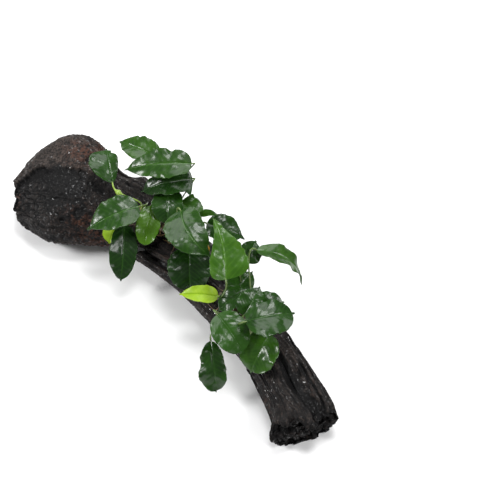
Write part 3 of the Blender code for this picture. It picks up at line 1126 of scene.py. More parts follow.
@dataclass
class WoodSurface:
    """Finds places on the wood: its highest point near a place on plan, and its nearest point."""

    pieces: Sequence[bpy.types.Object]

    def __post_init__(self) -> None:
        """Builds a search tree of each piece."""
        bpy.context.view_layer.update()
        depsgraph = bpy.context.evaluated_depsgraph_get()
        self.trees = [BVHTree.FromObject(piece, depsgraph) for piece in self.pieces]

    def highest(self, x: float, y: float, around: float) -> float:
        """Finds the wood's highest point at nine places on plan.

        Args:
            x: The middle place.
            y: The middle place.
            around: How far apart the places lie.

        Returns:
            Its height, in millimetres.
        """
        found = []
        for dx in (-around, 0.0, around):
            for dy in (-around, 0.0, around):
                above = (np.array((x + dx, y + dy, 300.0)) - PLAN_CENTRE) * MM
                hits = [tree.ray_cast(Vector(above), Vector((0, 0, -1)))[0] for tree in self.trees]
                found += [hit.z / MM for hit in hits if hit]
        return max(found)

    def nearest(self, place: Array) -> tuple[Array, Array]:
        """Finds the wood's nearest point.

        Args:
            place: The place that it is nearest to.

        Returns:
            The point, and the direction out of the wood there.
        """
        world = Vector((place - PLAN_CENTRE) * MM)
        found = [tree.find_nearest(world) for tree in self.trees]
        point, normal, _, _ = min(found, key=lambda hit: hit[3])
        return np.array(point) / MM + PLAN_CENTRE, np.array(normal)


@dataclass
class Tube:
    """A round form along a path, with its own radius at each share of its length."""

    name: str
    path: Array
    radius: Callable[[Array], Array]
    sides: int = 12
    rings: int = 48
    end_share: float = 0.08

    def rails(self) -> tuple[Array, Array, Array]:
        """Measures the path, and finds directions across it that never twist.

        Returns:
            The share of the length at each of its places, and the directions to its left and upward.
        """
        steps = np.linalg.norm(np.diff(self.path, axis=0), axis=1)
        shares = np.concatenate(([0.0], np.cumsum(steps))) / steps.sum()
        tangents = np.gradient(self.path, axis=0)
        tangents /= np.linalg.norm(tangents, axis=1)[:, None]
        left = np.cross((0.0, 0.0, 1.0), tangents[0])
        if np.linalg.norm(left) < 0.1:
            left = np.array((1.0, 0.0, 0.0))
        lefts = np.empty_like(self.path)
        for index, tangent in enumerate(tangents):
            left = left - tangent * left.dot(tangent)
            left = left / np.linalg.norm(left)
            lefts[index] = left
        return shares, lefts, np.cross(tangents, lefts)

    def build(self) -> RoundForm:
        """Bends a sphere's rings along the path, and keeps each vertex's share on the mesh.

        Returns:
            The bent rings.
        """
        form = RoundForm(self.name, self.sides, self.rings)
        shares, lefts, ups = self.rails()
        along = form.along(self.end_share)
        roundness = np.minimum(1.0, np.minimum(form.down, 1 - form.down) / self.end_share)
        out = np.sin(roundness * math.pi / 2) * self.radius(along)

        def read(rows: Array) -> Array:
            """Reads rows of three along the path."""
            return np.stack([np.interp(along, shares, rows[:, axis]) for axis in range(3)], axis=1)

        turn = np.radians(form.angle)
        places = read(self.path)
        places += read(lefts) * (np.cos(turn) * out)[:, None] + read(ups) * (np.sin(turn) * out)[:, None]
        write_places(form.mesh, places)
        store(form.mesh, "share", along)
        return form


def bezier(points: Sequence[Array], steps: int) -> Array:
    """Reads a cubic curve.

    Args:
        points: Its four control points.
        steps: How many places to read.

    Returns:
        The places, one row each.
    """
    t = np.linspace(0.0, 1.0, steps)[:, None]
    start, first, second, end = points
    return start * (1 - t) ** 3 + first * 3 * t * (1 - t) ** 2 + second * 3 * t**2 * (1 - t) + end * t**3


@dataclass
class Rhizome:
    """A creeping stem that lies on top of the wood, ringed by the scars of old leaves."""

    name: str
    node: str
    start: tuple[float, float]
    end: tuple[float, float]
    bow: float
    scar_spacing: float = 3.2

    def centre_line(self, wood: WoodSurface) -> Array:
        """Lays the stem's centre line on the wood, as the solid model does.

        Args:
            wood: The solid model's wood.

        Returns:
            The places along it, one row each.
        """
        start = np.array((*self.start, 0.0))
        end = np.array((*self.end, 0.0))
        sideways = np.array((start[1] - end[1], end[0] - start[0], 0.0))
        sideways /= np.linalg.norm(sideways)
        rows = []
        for step in range(RHIZOME_STEPS + 1):
            share = step / RHIZOME_STEPS
            point = start + (end - start) * share + sideways * self.bow * math.sin(math.pi * share)
            point[2] = wood.highest(point[0], point[1], RHIZOME_RADIUS * RHIZOME_FOOT) + RHIZOME_RADIUS + GAP
            rows.append(point)
        return np.array(rows)

    def thickness(self, share: Number) -> Number:
        """Returns the stem's radius: blunt at the old end, drawn out at the growing tip."""
        return RHIZOME_RADIUS * (0.75 + 0.25 * np.sin(math.pi * np.minimum(1.0, share * 1.1)))

    def build(self, wood: WoodSurface, finish: bpy.types.Material) -> bpy.types.Object:
        """Builds the stem and dresses it.

        Args:
            wood: The solid model's wood.
            finish: The stem's material.

        Returns:
            The piece.
        """
        line = self.centre_line(wood)
        fine = np.linspace(0.0, 1.0, 60)
        path = np.stack([spline(line[:, axis], fine) for axis in range(3)], axis=1)
        length = np.linalg.norm(np.diff(path, axis=0), axis=1).sum()

        def scar(share: Array) -> Array:
            """Returns how near each share is to a leaf scar, 0 to 1."""
            return np.abs(np.sin(math.pi * share * length / self.scar_spacing)) ** 6

        def radius(share: Array) -> Array:
            """Returns the stem's radius, a little less between the scars."""
            return self.thickness(share) * (0.94 + 0.06 * scar(share))

        form = Tube(self.name, path, radius, sides=40, rings=160, end_share=RHIZOME_END_SHARE).build()
        places = read_places(form.mesh) / MM + PLAN_CENTRE
        lumps = smooth_noise(places, 3.0, 2)
        places += read_normals(form.mesh) * (0.35 * lumps - 0.2)[:, None]
        write_places(form.mesh, places)
        store(form.mesh, "scar", scar(form.along(RHIZOME_END_SHARE)))
        return dress(put_in_scene(self.name, form.mesh, [finish]), "rhizome", self.node)


class Side(Enum):
    """The two sides of a blade, as seen from its stalk."""

    LEFT = 1
    RIGHT = -1


@dataclass(frozen=True)
class Curl:
    """A place where a blade's margin curls or is notched.

    Along is the share of the length, lift the rise of the margin in millimetres, length the curl's own share
    of the length, and pull the share of the half width by which the margin draws in.
    """

    along: float
    side: Side
    lift: float
    length: float = 0.12
    pull: float = 0.0


@dataclass(frozen=True)
class Leaf:
    """One leaf: where its blade starts, how it lies, its size and form, and where its stalk is rooted.

    Heading is the turn from x toward y, pitch the rise toward the tip, arch the bow's height as a share of
    the length, roll a turn about the midrib, and fold the lift of the margins. Root is the share along the
    creeping stem and root_side the turn around it. Rise and hook are the stalk's pulls at its two ends.
    Lean makes the left half wider than the right, and sweep bends the midrib sideways by a share of the
    length. Ruffle is the height of the margin's waves as a share of the width, waves their number, and swell
    the height of the face's own swells in millimetres. Shoulder and point shape the outline toward the base
    and the tip, and drip is the share that the drawn-out tip takes. Vigour is how light its green is, and
    fresh how yellow its stalk is, both 0 to 1. Bud is the share along the stalk where a side bud swells.
    Blemish is a yellowed spot: its shares along and across, and its size as a share of the length.
    """

    name: str
    base: tuple[float, float, float]
    heading: float
    pitch: float
    length: float
    width: float
    root: float
    root_side: float
    arch: float = 0.12
    roll: float = 0.0
    fold: float = 8.0
    tone: LeafTone = LeafTone.DARK
    rise: float = 0.4
    hook: float = 0.35
    lean: float = 0.0
    sweep: float = 0.0
    ruffle: float = 0.035
    waves: float = 2.6
    swell: float = 0.8
    shoulder: float = 0.45
    point: float = 0.66
    drip: float = 0.06
    vigour: float = 0.45
    fresh: float = 0.0
    bud: Optional[float] = None
    curls: tuple[Curl, ...] = ()
    blemish: Optional[tuple[float, float, float]] = None

    def directions(self) -> tuple[Array, Array, Array]:
        """Works out how the blade lies.

        Returns:
            The directions toward its tip, toward its left margin and out of its face.
        """
        heading = math.radians(self.heading)
        pitch = math.radians(self.pitch)
        level = np.array((math.cos(heading), math.sin(heading), 0.0))
        tipward = level * math.cos(pitch) + np.array((0.0, 0.0, math.sin(pitch)))
        left = np.array((-math.sin(heading), math.cos(heading), 0.0))
        return tipward, left, np.cross(tipward, left)

    def outline(self, along: Array) -> Array:
        """Measures the blade's half width.

        Args:
            along: The shares of the length.

        Returns:
            The half width at each, in millimetres.
        """
        widest = self.shoulder / (self.shoulder + self.point)
        most = widest**self.shoulder * (1 - widest) ** self.point
        body = np.minimum(1.0, along / (1 - self.drip))
        half = self.width / 2 * body**self.shoulder * (1 - body) ** self.point / most
        tip = 0.09 * self.width * np.minimum(1.0, (1 - along) / (self.drip + 0.1)) * smooth_step(along / 0.6)
        return np.cbrt(half**3 + tip**3) + 0.6 - 0.4 * along


@dataclass
class Blade:
    """A leaf's blade: arched, swollen and ruffled, with a sunken midrib, quilted between its side ribs."""

    leaf: Leaf
    name: str
    node: str
    ribs: int = 9
    rib_depth: float = 0.08
    midrib_depth: float = 0.35
    scallop: float = 0.06

    def side_ribs(self, along: Array, across: Array, half: Array) -> tuple[Array, Array]:
        """Returns how near each place is to a side rib, and how full the blade is between two.

        Args:
            along: The shares of the length.
            across: The shares from the right margin, -1, to the left, 1.
            half: The half widths, in millimetres.

        Returns:
            Two arrays of 0 to 1.
        """
        leaf = self.leaf
        aside = np.abs(across) * half
        spacing = leaf.length * 0.9 / self.ribs
        stagger = np.where(across < 0, 0.35, 0.0)
        spots = np.stack((along * leaf.length, across * half, np.full(len(along), 90 * leaf.root)), axis=1)
        wander = 0.3 * smooth_noise(spots, 9.0)
        turn = (along * leaf.length - 0.55 * aside - 0.022 * aside**2) / spacing + stagger + wander
        distance = np.abs(turn - np.round(turn)) * spacing
        fade = smooth_step(np.abs(across) / 0.12) * smooth_step((1 - np.abs(across)) / 0.25)
        near = np.exp(-((distance / 0.4) ** 2)) * fade * smooth_step((1 - along) / 0.2)
        full = np.abs(np.sin(math.pi * turn)) ** 0.8 * fade
        return near, full * smooth_step((1 - along) / 0.25) * smooth_step(along / 0.1)

    def curl(self, along: Array, across: Array) -> tuple[Array, Array]:
        """Measures what the named curls do.

        Args:
            along: The shares of the length.
            across: The shares from the right margin, -1, to the left, 1.

        Returns:
            How far they lift each place, and the share by which they draw the margin in.
        """
        lift = np.zeros(len(along))
        pull = np.zeros(len(along))
        for curl in self.leaf.curls:
            near = np.exp(-(((along - curl.along) / curl.length) ** 2)) * (across * curl.side.value > 0)
            lift += curl.lift * near * np.abs(across) ** 2.5
            pull += curl.pull * near
        return lift, pull

    def build(self, skins: dict[LeafTone, list[bpy.types.Material]]) -> bpy.types.Object:
        """Builds the blade as a sheet of its outline, gives it its thickness and dresses it.

        Args:
            skins: The upper and lower finish for each tone.

        Returns:
            The piece.
        """
        leaf = self.leaf
        sheet = bmesh.new()
        bmesh.ops.create_grid(sheet, x_segments=BLADE_STEPS, y_segments=BLADE_STRIPS, size=1.0)
        mesh = bpy.data.meshes.new(self.name)
        sheet.to_mesh(mesh)
        sheet.free()
        flat = read_places(mesh)
        along = np.clip((1 + np.sin(flat[:, 0] * math.pi / 2)) / 2, 0.0, 1.0)
        across = flat[:, 1]
        tipward, flat_left, flat_outward = leaf.directions()
        roll = math.radians(leaf.roll)
        left = flat_left * math.cos(roll) + flat_outward * math.sin(roll)
        outward = flat_outward * math.cos(roll) - flat_left * math.sin(roll)

        own = 20 * leaf.root
        rim = np.stack((along * leaf.length, np.sign(across) * 9, np.full(len(along), own)), axis=1)
        curl_lift, pull = self.curl(along, across)
        half = leaf.outline(along) * (1 + leaf.lean * np.sign(across)) * (1 - pull)
        half *= 1 + self.scallop * np.abs(across) * (smooth_noise(rim, 3.0) + smooth_noise(rim + 50, 8.0))
        bow = 4 * along * (1 - along)
        side_phase = np.where(across < 0, 2.4, 0.0)
        wave = np.sin(2 * math.pi * leaf.waves * along + side_phase + own)
        fold = math.radians(leaf.fold)
        near, full = self.side_ribs(along, across, half)
        midrib = np.exp(-((across * half / 0.6) ** 2)) * smooth_step((1 - along) / 0.25)
        spots = np.stack((along * leaf.length, across * half, np.full(len(along), 70 * own)), axis=1)
        lift = half * np.abs(across) * math.sin(fold) + curl_lift
        lift += leaf.ruffle * leaf.width * np.abs(across) ** 2.2 * wave * smooth_step(along / 0.15)
        swells = smooth_noise(spots, 9.0) + 0.35 * smooth_noise(spots, 4.0)
        lift += leaf.swell * swells * smooth_step(along / 0.15)
        lift += self.rib_depth * full - self.midrib_depth * midrib
        lift += leaf.length * leaf.arch * bow
        places = np.array(leaf.base) + tipward * (leaf.length * along)[:, None]
        places += outward * lift[:, None]
        places += left * (half * across * math.cos(fold))[:, None]
        places += flat_left * (leaf.length * leaf.sweep * bow)[:, None]
        write_places(mesh, places)

        store(mesh, "vein", near)
        store(mesh, "midrib", midrib)
        store(mesh, "margin", np.abs(across) ** 8)
        store(mesh, "vigour", np.full(len(along), leaf.vigour))
        store(mesh, "blemish", self.blemish(along, across))
        piece = put_in_scene(self.name, mesh, skins[leaf.tone])
        thickness = piece.modifiers.new("thickness", "SOLIDIFY")
        thickness.thickness = BLADE_THICKNESS * MM
        thickness.offset = 0.0
        thickness.material_offset = 1
        thickness.material_offset_rim = 0
        slots = {LeafTone.YOUNG: "young_leaf", LeafTone.LIME: "yellow_leaf"}
        return dress(piece, slots.get(leaf.tone, "leaf"), self.node)

    def blemish(self, along: Array, across: Array) -> Array:
        """Measures how far some places are in the leaf's yellowed spot.

        Args:
            along: The shares of the length.
            across: The shares from the right margin, -1, to the left, 1.

        Returns:
            A share for each, 1 at the spot's middle.
        """
        if not self.leaf.blemish:
            return np.zeros(len(along))
        middle_along, middle_across, size = self.leaf.blemish
        lengthwise = (along - middle_along) / size
        sideways = (across - middle_across) / (2.2 * size)
        return np.exp(-(lengthwise**2) - sideways**2)


@dataclass
class Stalk:
    """A leaf's stalk: sheathed where it leaves the creeping stem, slightly swollen below the blade."""

    leaf: Leaf
    name: str
    node: str

    def path(self, line: Array, stem: Rhizome) -> Array:
        """Lays the stalk's centre line, much as the solid model does.

        Args:
            line: The creeping stem's centre line.
            stem: The creeping stem.

        Returns:
            The places along the stalk, from inside the stem to under the blade.
        """
        leaf = self.leaf
        place = leaf.root * (len(line) - 1)
        index = min(int(place), len(line) - 2)
        centre = line[index] + (line[index + 1] - line[index]) * (place - index)
        forward = line[index + 1] - line[index]
        forward /= np.linalg.norm(forward)
        right = np.cross(forward, (0.0, 0.0, 1.0))
        right /= np.linalg.norm(right)
        side = math.radians(leaf.root_side)
        outward = right * math.cos(side) + np.cross(right, forward) * math.sin(side)
        radius = stem.thickness(leaf.root)
        start = centre + outward * (radius + GAP)
        tipward = leaf.directions()[0]
        base = np.array(leaf.base)
        knee = base - tipward * STALK_KNEE
        reach = np.linalg.norm(knee - start)
        arrival = tipward + np.array((0.0, 0.0, STALK_LIFT))
        arrival /= np.linalg.norm(arrival)
        after_start = start + outward * reach * leaf.rise
        before_knee = knee - arrival * reach * leaf.hook
        curve = bezier((start, after_start, before_knee, knee), STALK_STEPS)
        foot = centre + outward * radius * 0.5
        tuck = tipward * STALK_TUCK
        return np.concatenate(([foot], curve, [base - tuck, base + tuck]))

    def build(self, line: Array, stem: Rhizome, finish: bpy.types.Material) -> bpy.types.Object:
        """Builds the stalk and dresses it.

        Args:
            line: The creeping stem's centre line.
            stem: The creeping stem.
            finish: The stalk's material.

        Returns:
            The piece.
        """

        def radius(share: Array) -> Array:
            """Measures the stalk's thickness.

            Args:
                share: The shares of its length.

            Returns:
                The radius at each, in millimetres.
            """
            sheath = 0.75 * np.exp(-((share / 0.14) ** 2))
            swelling = 0.16 * np.exp(-(((share - 0.9) / 0.07) ** 2))
            if self.leaf.bud:
                swelling = swelling + 2.6 * np.exp(-(((share - self.leaf.bud) / 0.06) ** 2))
            return STALK_RADIUS * (0.82 + sheath + swelling - 0.28 * smooth_step((share - 0.93) / 0.07))

        form = Tube(self.name, self.path(line, stem), radius, sides=14, rings=64, end_share=0.03).build()
        store(form.mesh, "fresh", np.full(len(form.mesh.vertices), self.leaf.fresh))
        return dress(put_in_scene(self.name, form.mesh, [finish]), "stalk", self.node)


@dataclass
class Roots:
    """The roots of one crown, which leave the creeping stem's sides and cling to the wood.

    They are walked in steps. Each step wanders and sinks a little, and a root ends at the lowest height.
    """

    name: str
    seed: int
    count: int = 22
    step: float = 2.0
    wander: float = 0.22
    sink: float = 0.10
    stand_off: float = 0.35
    lowest: float = 1.5

    def route(self, start: Array, heading: Array, length: float, wood: WoodSurface, rng: Any) -> Array:
        """Walks one root over the wood.

        Args:
            start: Where it leaves the stem.
            heading: The direction in which it sets out.
            length: How long it is, in millimetres.
            wood: The wood that it clings to.
            rng: The source of its wandering.

        Returns:
            The places along it.
        """
        rows = [start]
        place = start
        for _ in range(int(length / self.step)):
            heading = heading + rng.normal(0.0, self.wander, 3) - np.array((0.0, 0.0, self.sink))
            heading /= np.linalg.norm(heading)
            found, normal = wood.nearest(place + heading * self.step)
            heading = heading - normal * heading.dot(normal)
            place = found + normal * self.stand_off
            if place[2] < self.lowest:
                break
            rows.append(place)
        return np.array(rows)

    def build(self, line: Array, wood: WoodSurface, finish: bpy.types.Material) -> bpy.types.Object:
        """Builds the roots as one joined mesh.

        Args:
            line: The creeping stem's centre line.
            wood: The finished wood.
            finish: The roots' material.

        Returns:
            The piece.
        """
        rng = np.random.default_rng(self.seed)
        joined = bmesh.new()
        for number in range(self.count):
            share = (number + 0.5) / self.count
            centre = np.array([spline(line[:, axis], share) for axis in range(3)])
            forward = line[-1] - line[0]
            side = np.array((-forward[1], forward[0], 0.0)) * (1 if number % 2 else -1)
            side /= np.linalg.norm(side)
            heading = side + forward / np.linalg.norm(forward) * rng.normal(0.0, 0.6)
            start = centre + side * RHIZOME_RADIUS * 0.6 - np.array((0.0, 0.0, RHIZOME_RADIUS * 0.5))
            rows = self.route(start, heading, rng.uniform(14, 42), wood, rng)
            if len(rows) < 4:
                continue
            thick = rng.uniform(0.4, 0.75)
            tube = Tube(f"{self.name}_{number}", rows, lambda s, r=thick: r * (1 - 0.6 * s), 7, 34, 0.05)
            root = tube.build()
            joined.from_mesh(root.mesh)
            bpy.data.meshes.remove(root.mesh)
        mesh = bpy.data.meshes.new(self.name)
        joined.to_mesh(mesh)
        joined.free()
        return dress(put_in_scene(self.name, mesh, [finish]), "rhizome")


UPPER_LEAVES = (
    Leaf(
        "01", base=(-118, 25, 66), heading=102, pitch=14, length=33, width=25, arch=0.10, roll=2, fold=12,
        root=0.04, root_side=100, rise=0.5, lean=0.38, shoulder=0.7, point=0.42, vigour=0.5, fresh=1.0,
        bud=0.72, curls=(Curl(0.84, Side.RIGHT, 1.5, 0.06, 0.5), Curl(0.25, Side.LEFT, 1.5, 0.15)),
    ),
    Leaf(
        "02", base=(-93, -5, 72), heading=-159, pitch=-12, length=47, width=29, roll=-10,
        root=0.08, root_side=100, rise=0.7, tone=LeafTone.MID, vigour=0.2,
        shoulder=0.42, point=0.72, drip=0.08,
    ),
    Leaf(
        "03", base=(-112.5, -8, 51), heading=-118, pitch=-28, length=18, width=16, arch=0.10, fold=10,
        root=0.08, root_side=30, tone=LeafTone.LIME, lean=-0.1, point=0.42,
    ),
    Leaf(
        "04", base=(-106.5, -10, 53), heading=-95, pitch=-35, length=48, width=22.5, roll=-14, fold=5,
        root=0.24, root_side=20, vigour=0.2, point=0.52, drip=0.04, shoulder=0.44,
    ),
    Leaf(
        "05", base=(-83, 2, 63), heading=-101, pitch=-23, length=34, width=19.5, arch=0.08, roll=-8,
        root=0.32, root_side=80, tone=LeafTone.YOUNG, rise=0.3, hook=0.2, vigour=0.85,
        shoulder=0.38, point=0.40, drip=0.02,
    ),
    Leaf(
        "06", base=(-79, 40.5, 80), heading=148, pitch=-6, length=41, width=24, arch=0.10, roll=-5,
        root=0.12, root_side=130, tone=LeafTone.MID, vigour=0.5,
        curls=(Curl(0.6, Side.RIGHT, -1.0, 0.04, 0.12),),
    ),
    Leaf(
        "07", base=(-48.5, 21, 97), heading=178, pitch=-11, length=58, width=26, arch=0.11, roll=-16, fold=6,
        root=0.25, root_side=150, tone=LeafTone.MID, rise=0.9, hook=0.02, vigour=0.3,
        shoulder=0.42, point=0.75,
        curls=(Curl(0.28, Side.RIGHT, -1.5, 0.05, 0.14), Curl(0.45, Side.LEFT, -2.0, 0.08)),
    ),
    Leaf(
        "08", base=(-48.5, 17, 82), heading=-175, pitch=-17, length=46, width=26, roll=-12, fold=6,
        root=0.52, root_side=95, rise=0.4, hook=0.02, shoulder=0.36, vigour=0.3,
        curls=(Curl(0.06, Side.LEFT, -1.5, 0.05, -0.5), Curl(0.55, Side.LEFT, 2.2, 0.3)),
    ),
    Leaf(
        "09", base=(-68, 13, 72), heading=-93, pitch=-26, length=30.5, width=26, arch=0.16, roll=4, fold=6,
        root=0.38, root_side=110, shoulder=0.4, point=0.42,
    ),
    Leaf(
        "10", base=(-58.5, 4, 66), heading=-42, pitch=-19, length=22.5, width=22, arch=0.14, fold=12,
        root=0.66, root_side=110, vigour=0.5, point=0.45, tone=LeafTone.MID,
        curls=(Curl(0.08, Side.LEFT, 3.0, 0.12, -0.4),),
    ),
    Leaf(
        "11", base=(-43, -15, 70), heading=6, pitch=4, length=17, width=9, arch=0.16, fold=45,
        root=0.76, root_side=100, tone=LeafTone.MID,
    ),
    Leaf(
        "12", base=(-36, -15, 62), heading=-14, pitch=-20, length=34.5, width=23.5, arch=0.14, roll=15,
        root=0.92, root_side=100, drip=0.12, ruffle=0.05, vigour=0.4,
    ),
    Leaf(
        "13", base=(-57, -15, 80), heading=-57, pitch=-12, length=48, width=33,
        root=0.78, root_side=70, tone=LeafTone.MID, rise=0.5, shoulder=0.34, point=0.62, vigour=0.25,
        lean=-0.1, sweep=-0.14, curls=(Curl(0.62, Side.RIGHT, -2.5, 0.14),), blemish=(0.86, 0.8, 0.03),
    ),
    Leaf(
        "14", base=(-50.5, -39, 61), heading=-88, pitch=-36, length=37, width=35, arch=0.14, fold=10,
        root=0.84, root_side=40, shoulder=0.36, point=0.42, ruffle=0.045, vigour=0.15,
    ),
)

LOWER_LEAVES = (
    Leaf(
        "01", base=(-19, -82, 80), heading=102, pitch=17, length=51.5, width=31, arch=0.08,
        root=0.16, root_side=60, tone=LeafTone.YOUNG, rise=0.5, hook=0.3, lean=-0.2, shoulder=0.34,
        point=1.4, sweep=-0.05, drip=0.03, vigour=0.25, curls=(Curl(0.28, Side.LEFT, -2.5, 0.1),),
    ),
    Leaf(
        "02", base=(-26, -81, 53), heading=174, pitch=-4, length=31.5, width=14.5, arch=0.10, roll=-10,
        fold=14, root=0.06, root_side=60, tone=LeafTone.LIME, rise=0.5, shoulder=0.42, point=0.72,
        swell=0.4, fresh=1.0,
    ),
    Leaf(
        "03", base=(-5, -63, 78), heading=57, pitch=20, length=19, width=20, arch=0.10, roll=40, fold=10,
        root=0.38, root_side=130, vigour=0.4,
    ),
    Leaf(
        "04", base=(5.5, -59, 87), heading=-18, pitch=-40, length=50, width=18, arch=0.20, roll=-15, fold=12,
        root=0.75, root_side=110, rise=0.3, hook=0.2, tone=LeafTone.MID, sweep=0.04, ruffle=0.07, drip=0.16,
        waves=3.2, vigour=0.5, point=0.6,
    ),
    Leaf(
        "05", base=(-14, -85, 57), heading=50, pitch=20, length=27, width=22, arch=0.10, fold=10,
        root=0.44, root_side=110, vigour=0.5,
    ),
    Leaf(
        "06", base=(-4, -82, 63), heading=-150, pitch=-22, length=27, width=20, arch=0.10, fold=10,
        root=0.28, root_side=130, rise=0.55,
    ),
    Leaf(
        "07", base=(-5, -107, 67), heading=58, pitch=22, length=26, width=21, arch=0.10, roll=20,
        root=0.54, root_side=70,
    ),
    Leaf(
        "08", base=(0, -98, 61), heading=8, pitch=11, length=28, width=21, roll=10,
        root=0.64, root_side=130, point=0.5,
    ),
    Leaf(
        "09", base=(-3, -117, 75), heading=14, pitch=-5, length=39, width=31,
        root=0.82, root_side=80, rise=0.7, shoulder=0.36, point=0.42, vigour=0.4, lean=-0.18, sweep=-0.03,
    ),
    Leaf(
        "10", base=(-25.5, -108, 70), heading=-51, pitch=-28, length=36.5, width=29,
        root=0.64, root_side=40, shoulder=0.42, point=0.5, vigour=0.8,
    ),
    Leaf(
        "11", base=(16, -118, 56), heading=-123, pitch=-33, length=34, width=30, arch=0.16,
        root=0.92, root_side=120, tone=LeafTone.MID, shoulder=0.38, point=0.42, vigour=0.5,
    ),
    Leaf(
        "12", base=(-31, -119.5, 48), heading=-82, pitch=-43, length=41.5, width=20, lean=-0.12,
        root=0.82, root_side=20, shoulder=0.48, point=0.36, drip=0.03, ruffle=0.1, waves=2.2, vigour=0.45,
        curls=(Curl(0.62, Side.RIGHT, 1.0, 0.12, -0.15), Curl(0.38, Side.RIGHT, -1.0, 0.08, 0.12)),
    ),
)


@dataclass
class Crown:
    """One crown of the plant: its creeping stem, its leaves and its roots."""

    side: str
    stem: Rhizome
    leaves: tuple[Leaf, ...]
    roots: Roots

    def build(
        self, solid_wood: WoodSurface, fine_wood: WoodSurface, finishes: "Finishes"
    ) -> list[bpy.types.Object]:
        """Builds every piece of the crown.

        Args:
            solid_wood: The solid model's wood, which sets where the stem lies.
            fine_wood: The finished wood, which the roots cling to.
            finishes: The materials.

        Returns:
            The pieces.
        """
        line = self.stem.centre_line(solid_wood)
        made = [self.stem.build(solid_wood, finishes.bark)]
        for leaf in self.leaves:
            key = f"{self.side}_{leaf.name}"
            made.append(Blade(leaf, f"leaf_{key}", f"blade_{key}").build(finishes.skins))
            stalk = Stalk(leaf, f"leaf_stalk_{key}", f"stalk_{key}")
            made.append(stalk.build(line, self.stem, finishes.stalk))
        made.append(self.roots.build(line, fine_wood, finishes.root))
        return made


class Finishes:
    """Every material of the object, made once."""

    def __init__(self) -> None:
        """Makes the materials."""
        self.wood = WetWood().material()
        self.stalk = StalkSkin().material()
        self.bark = StemBark().material()
        self.root = RootSkin().material()
        uppers = (
            LeafSkin(LeafTone.DARK, (0.0048, 0.022, 0.0022), (0.016, 0.060, 0.0040), (0.022, 0.072, 0.008)),
            LeafSkin(LeafTone.MID, (0.0090, 0.037, 0.0028), (0.028, 0.085, 0.0055), (0.036, 0.105, 0.011)),
            LeafSkin(LeafTone.YOUNG, (0.0220, 0.074, 0.0035), (0.056, 0.145, 0.0065), (0.066, 0.168, 0.012)),
            LeafSkin(LeafTone.LIME, (0.18, 0.312, 0.006), (0.29, 0.437, 0.012), (0.172, 0.312, 0.008), 0.4),
        )
        lowers = {
            LeafTone.DARK: (0.024, 0.068, 0.018),
            LeafTone.MID: (0.036, 0.096, 0.021),
            LeafTone.YOUNG: (0.064, 0.150, 0.028),
            LeafTone.LIME: (0.210, 0.340, 0.030),
        }
        self.skins = {
            skin.tone: [skin.material(), LeafUnderside(skin.tone, lowers[skin.tone]).material()]
            for skin in uppers
        }


@dataclass(frozen=True)
class Softbox:
    """An oblong studio light that faces the origin: its place, its two sides and its brightness in watts."""

    name: str
    place: tuple[float, float, float]
    width: float
    height: float
    watts: float

    def build(self) -> None:
        """Puts the light in the scene."""
        light = bpy.data.lights.new(self.name, "AREA")
        light.shape = "RECTANGLE"
        light.size = self.width
        light.size_y = self.height
        light.energy = self.watts
        lamp = bpy.data.objects.new(self.name, light)
        lamp.location = self.place
        lamp.rotation_euler = (-Vector(self.place)).to_track_quat("-Z", "Y").to_euler()
        bpy.context.scene.collection.objects.link(lamp)


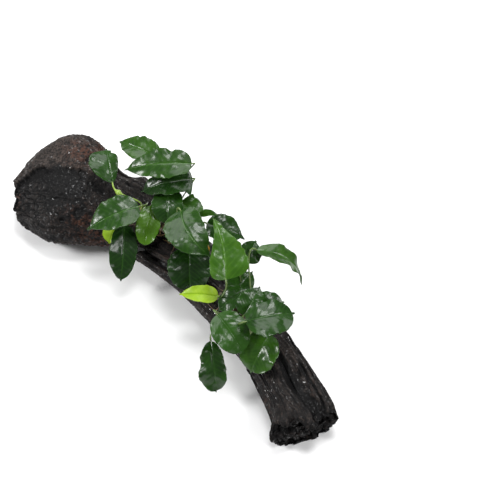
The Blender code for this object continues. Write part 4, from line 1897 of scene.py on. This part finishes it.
@dataclass
class Studio:
    """The white ground, the lights and the camera that looks down on the object."""

    elevation: float = 56.0
    distance: float = 875.0
    lens: float = 70.0
    sensor: float = 36.0
    ground: float = 12.0
    sky: float = 0.25
    lights: tuple[Softbox, ...] = (
        Softbox("back_panel", (0.10, 1.05, 1.20), 1.4, 0.9, 15.0),
        Softbox("key_softbox", (0.22, 0.22, 1.40), 0.40, 0.40, 9.0),
        Softbox("left_fill", (-1.05, -0.10, 0.95), 0.35, 0.35, 15.0),
        Softbox("right_fill", (0.90, -0.40, 1.00), 0.45, 0.45, 9.0),
    )

    def build(self) -> None:
        """Builds the studio."""
        self.build_ground()
        self.build_sky()
        for light in self.lights:
            light.build()
        self.build_camera()

    def build_ground(self) -> None:
        """Lays the white ground."""
        sheet = bmesh.new()
        bmesh.ops.create_grid(sheet, x_segments=8, y_segments=8, size=self.ground / 2)
        mesh = bpy.data.meshes.new("ground")
        sheet.to_mesh(mesh)
        sheet.free()
        ground = put_in_scene("ground", mesh, [PalePaper().material()])
        ground.location.z = -0.1 * MM

    def build_sky(self) -> None:
        """Surrounds the scene with plain white light."""
        world = bpy.data.worlds.new("white_room")
        world.use_nodes = True
        world.node_tree.nodes["Background"].inputs["Color"].default_value = (1.0, 1.0, 1.0, 1.0)
        world.node_tree.nodes["Background"].inputs["Strength"].default_value = self.sky
        scene = bpy.context.scene
        scene.world = world
        scene.view_settings.view_transform = "Standard"
        scene.view_settings.look = "None"

    def build_camera(self) -> None:
        """Aims the camera at the point on the floor between the crowns."""
        tilt = math.radians(self.elevation)
        target = Vector(-PLAN_CENTRE * MM)
        back = Vector((0.0, -math.cos(tilt), math.sin(tilt)))
        lens = bpy.data.cameras.new("camera")
        lens.lens = self.lens
        lens.sensor_width = self.sensor
        lens.clip_end = 50.0
        camera = bpy.data.objects.new("camera", lens)
        camera.location = target + back * self.distance * MM
        camera.rotation_euler = (-back).to_track_quat("-Z", "Y").to_euler()
        bpy.context.scene.collection.objects.link(camera)
        bpy.context.scene.camera = camera


def main() -> None:
    """Builds the whole scene."""
    logging.basicConfig(level=logging.INFO, format="%(name)s: %(message)s")
    Studio().build()
    finishes = Finishes()
    nodes = frame["nodes"]
    solid_wood = WoodSurface([nodes["driftwood_limb"], nodes["driftwood_head"]])
    arms = [arm.build(finishes.wood) for arm in driftwood_arms()]
    fine_wood = WoodSurface(arms)
    crowns = (
        Crown(
            "upper",
            Rhizome("stem_upper", "rhizome_upper", start=(-96, 10), end=(-40, -22), bow=-3),
            UPPER_LEAVES,
            Roots("roots_upper", seed=3),
        ),
        Crown(
            "lower",
            Rhizome("stem_lower", "rhizome_lower", start=(-26, -74), end=(5, -114), bow=3),
            LOWER_LEAVES,
            Roots("roots_lower", seed=8),
        ),
    )
    pieces = list(arms)
    for crown in crowns:
        pieces += crown.build(solid_wood, fine_wood, finishes)
    for piece in pieces:
        log.info("%s: %d faces", piece.name, len(piece.data.polygons))


if __name__ == "__main__":
    main()
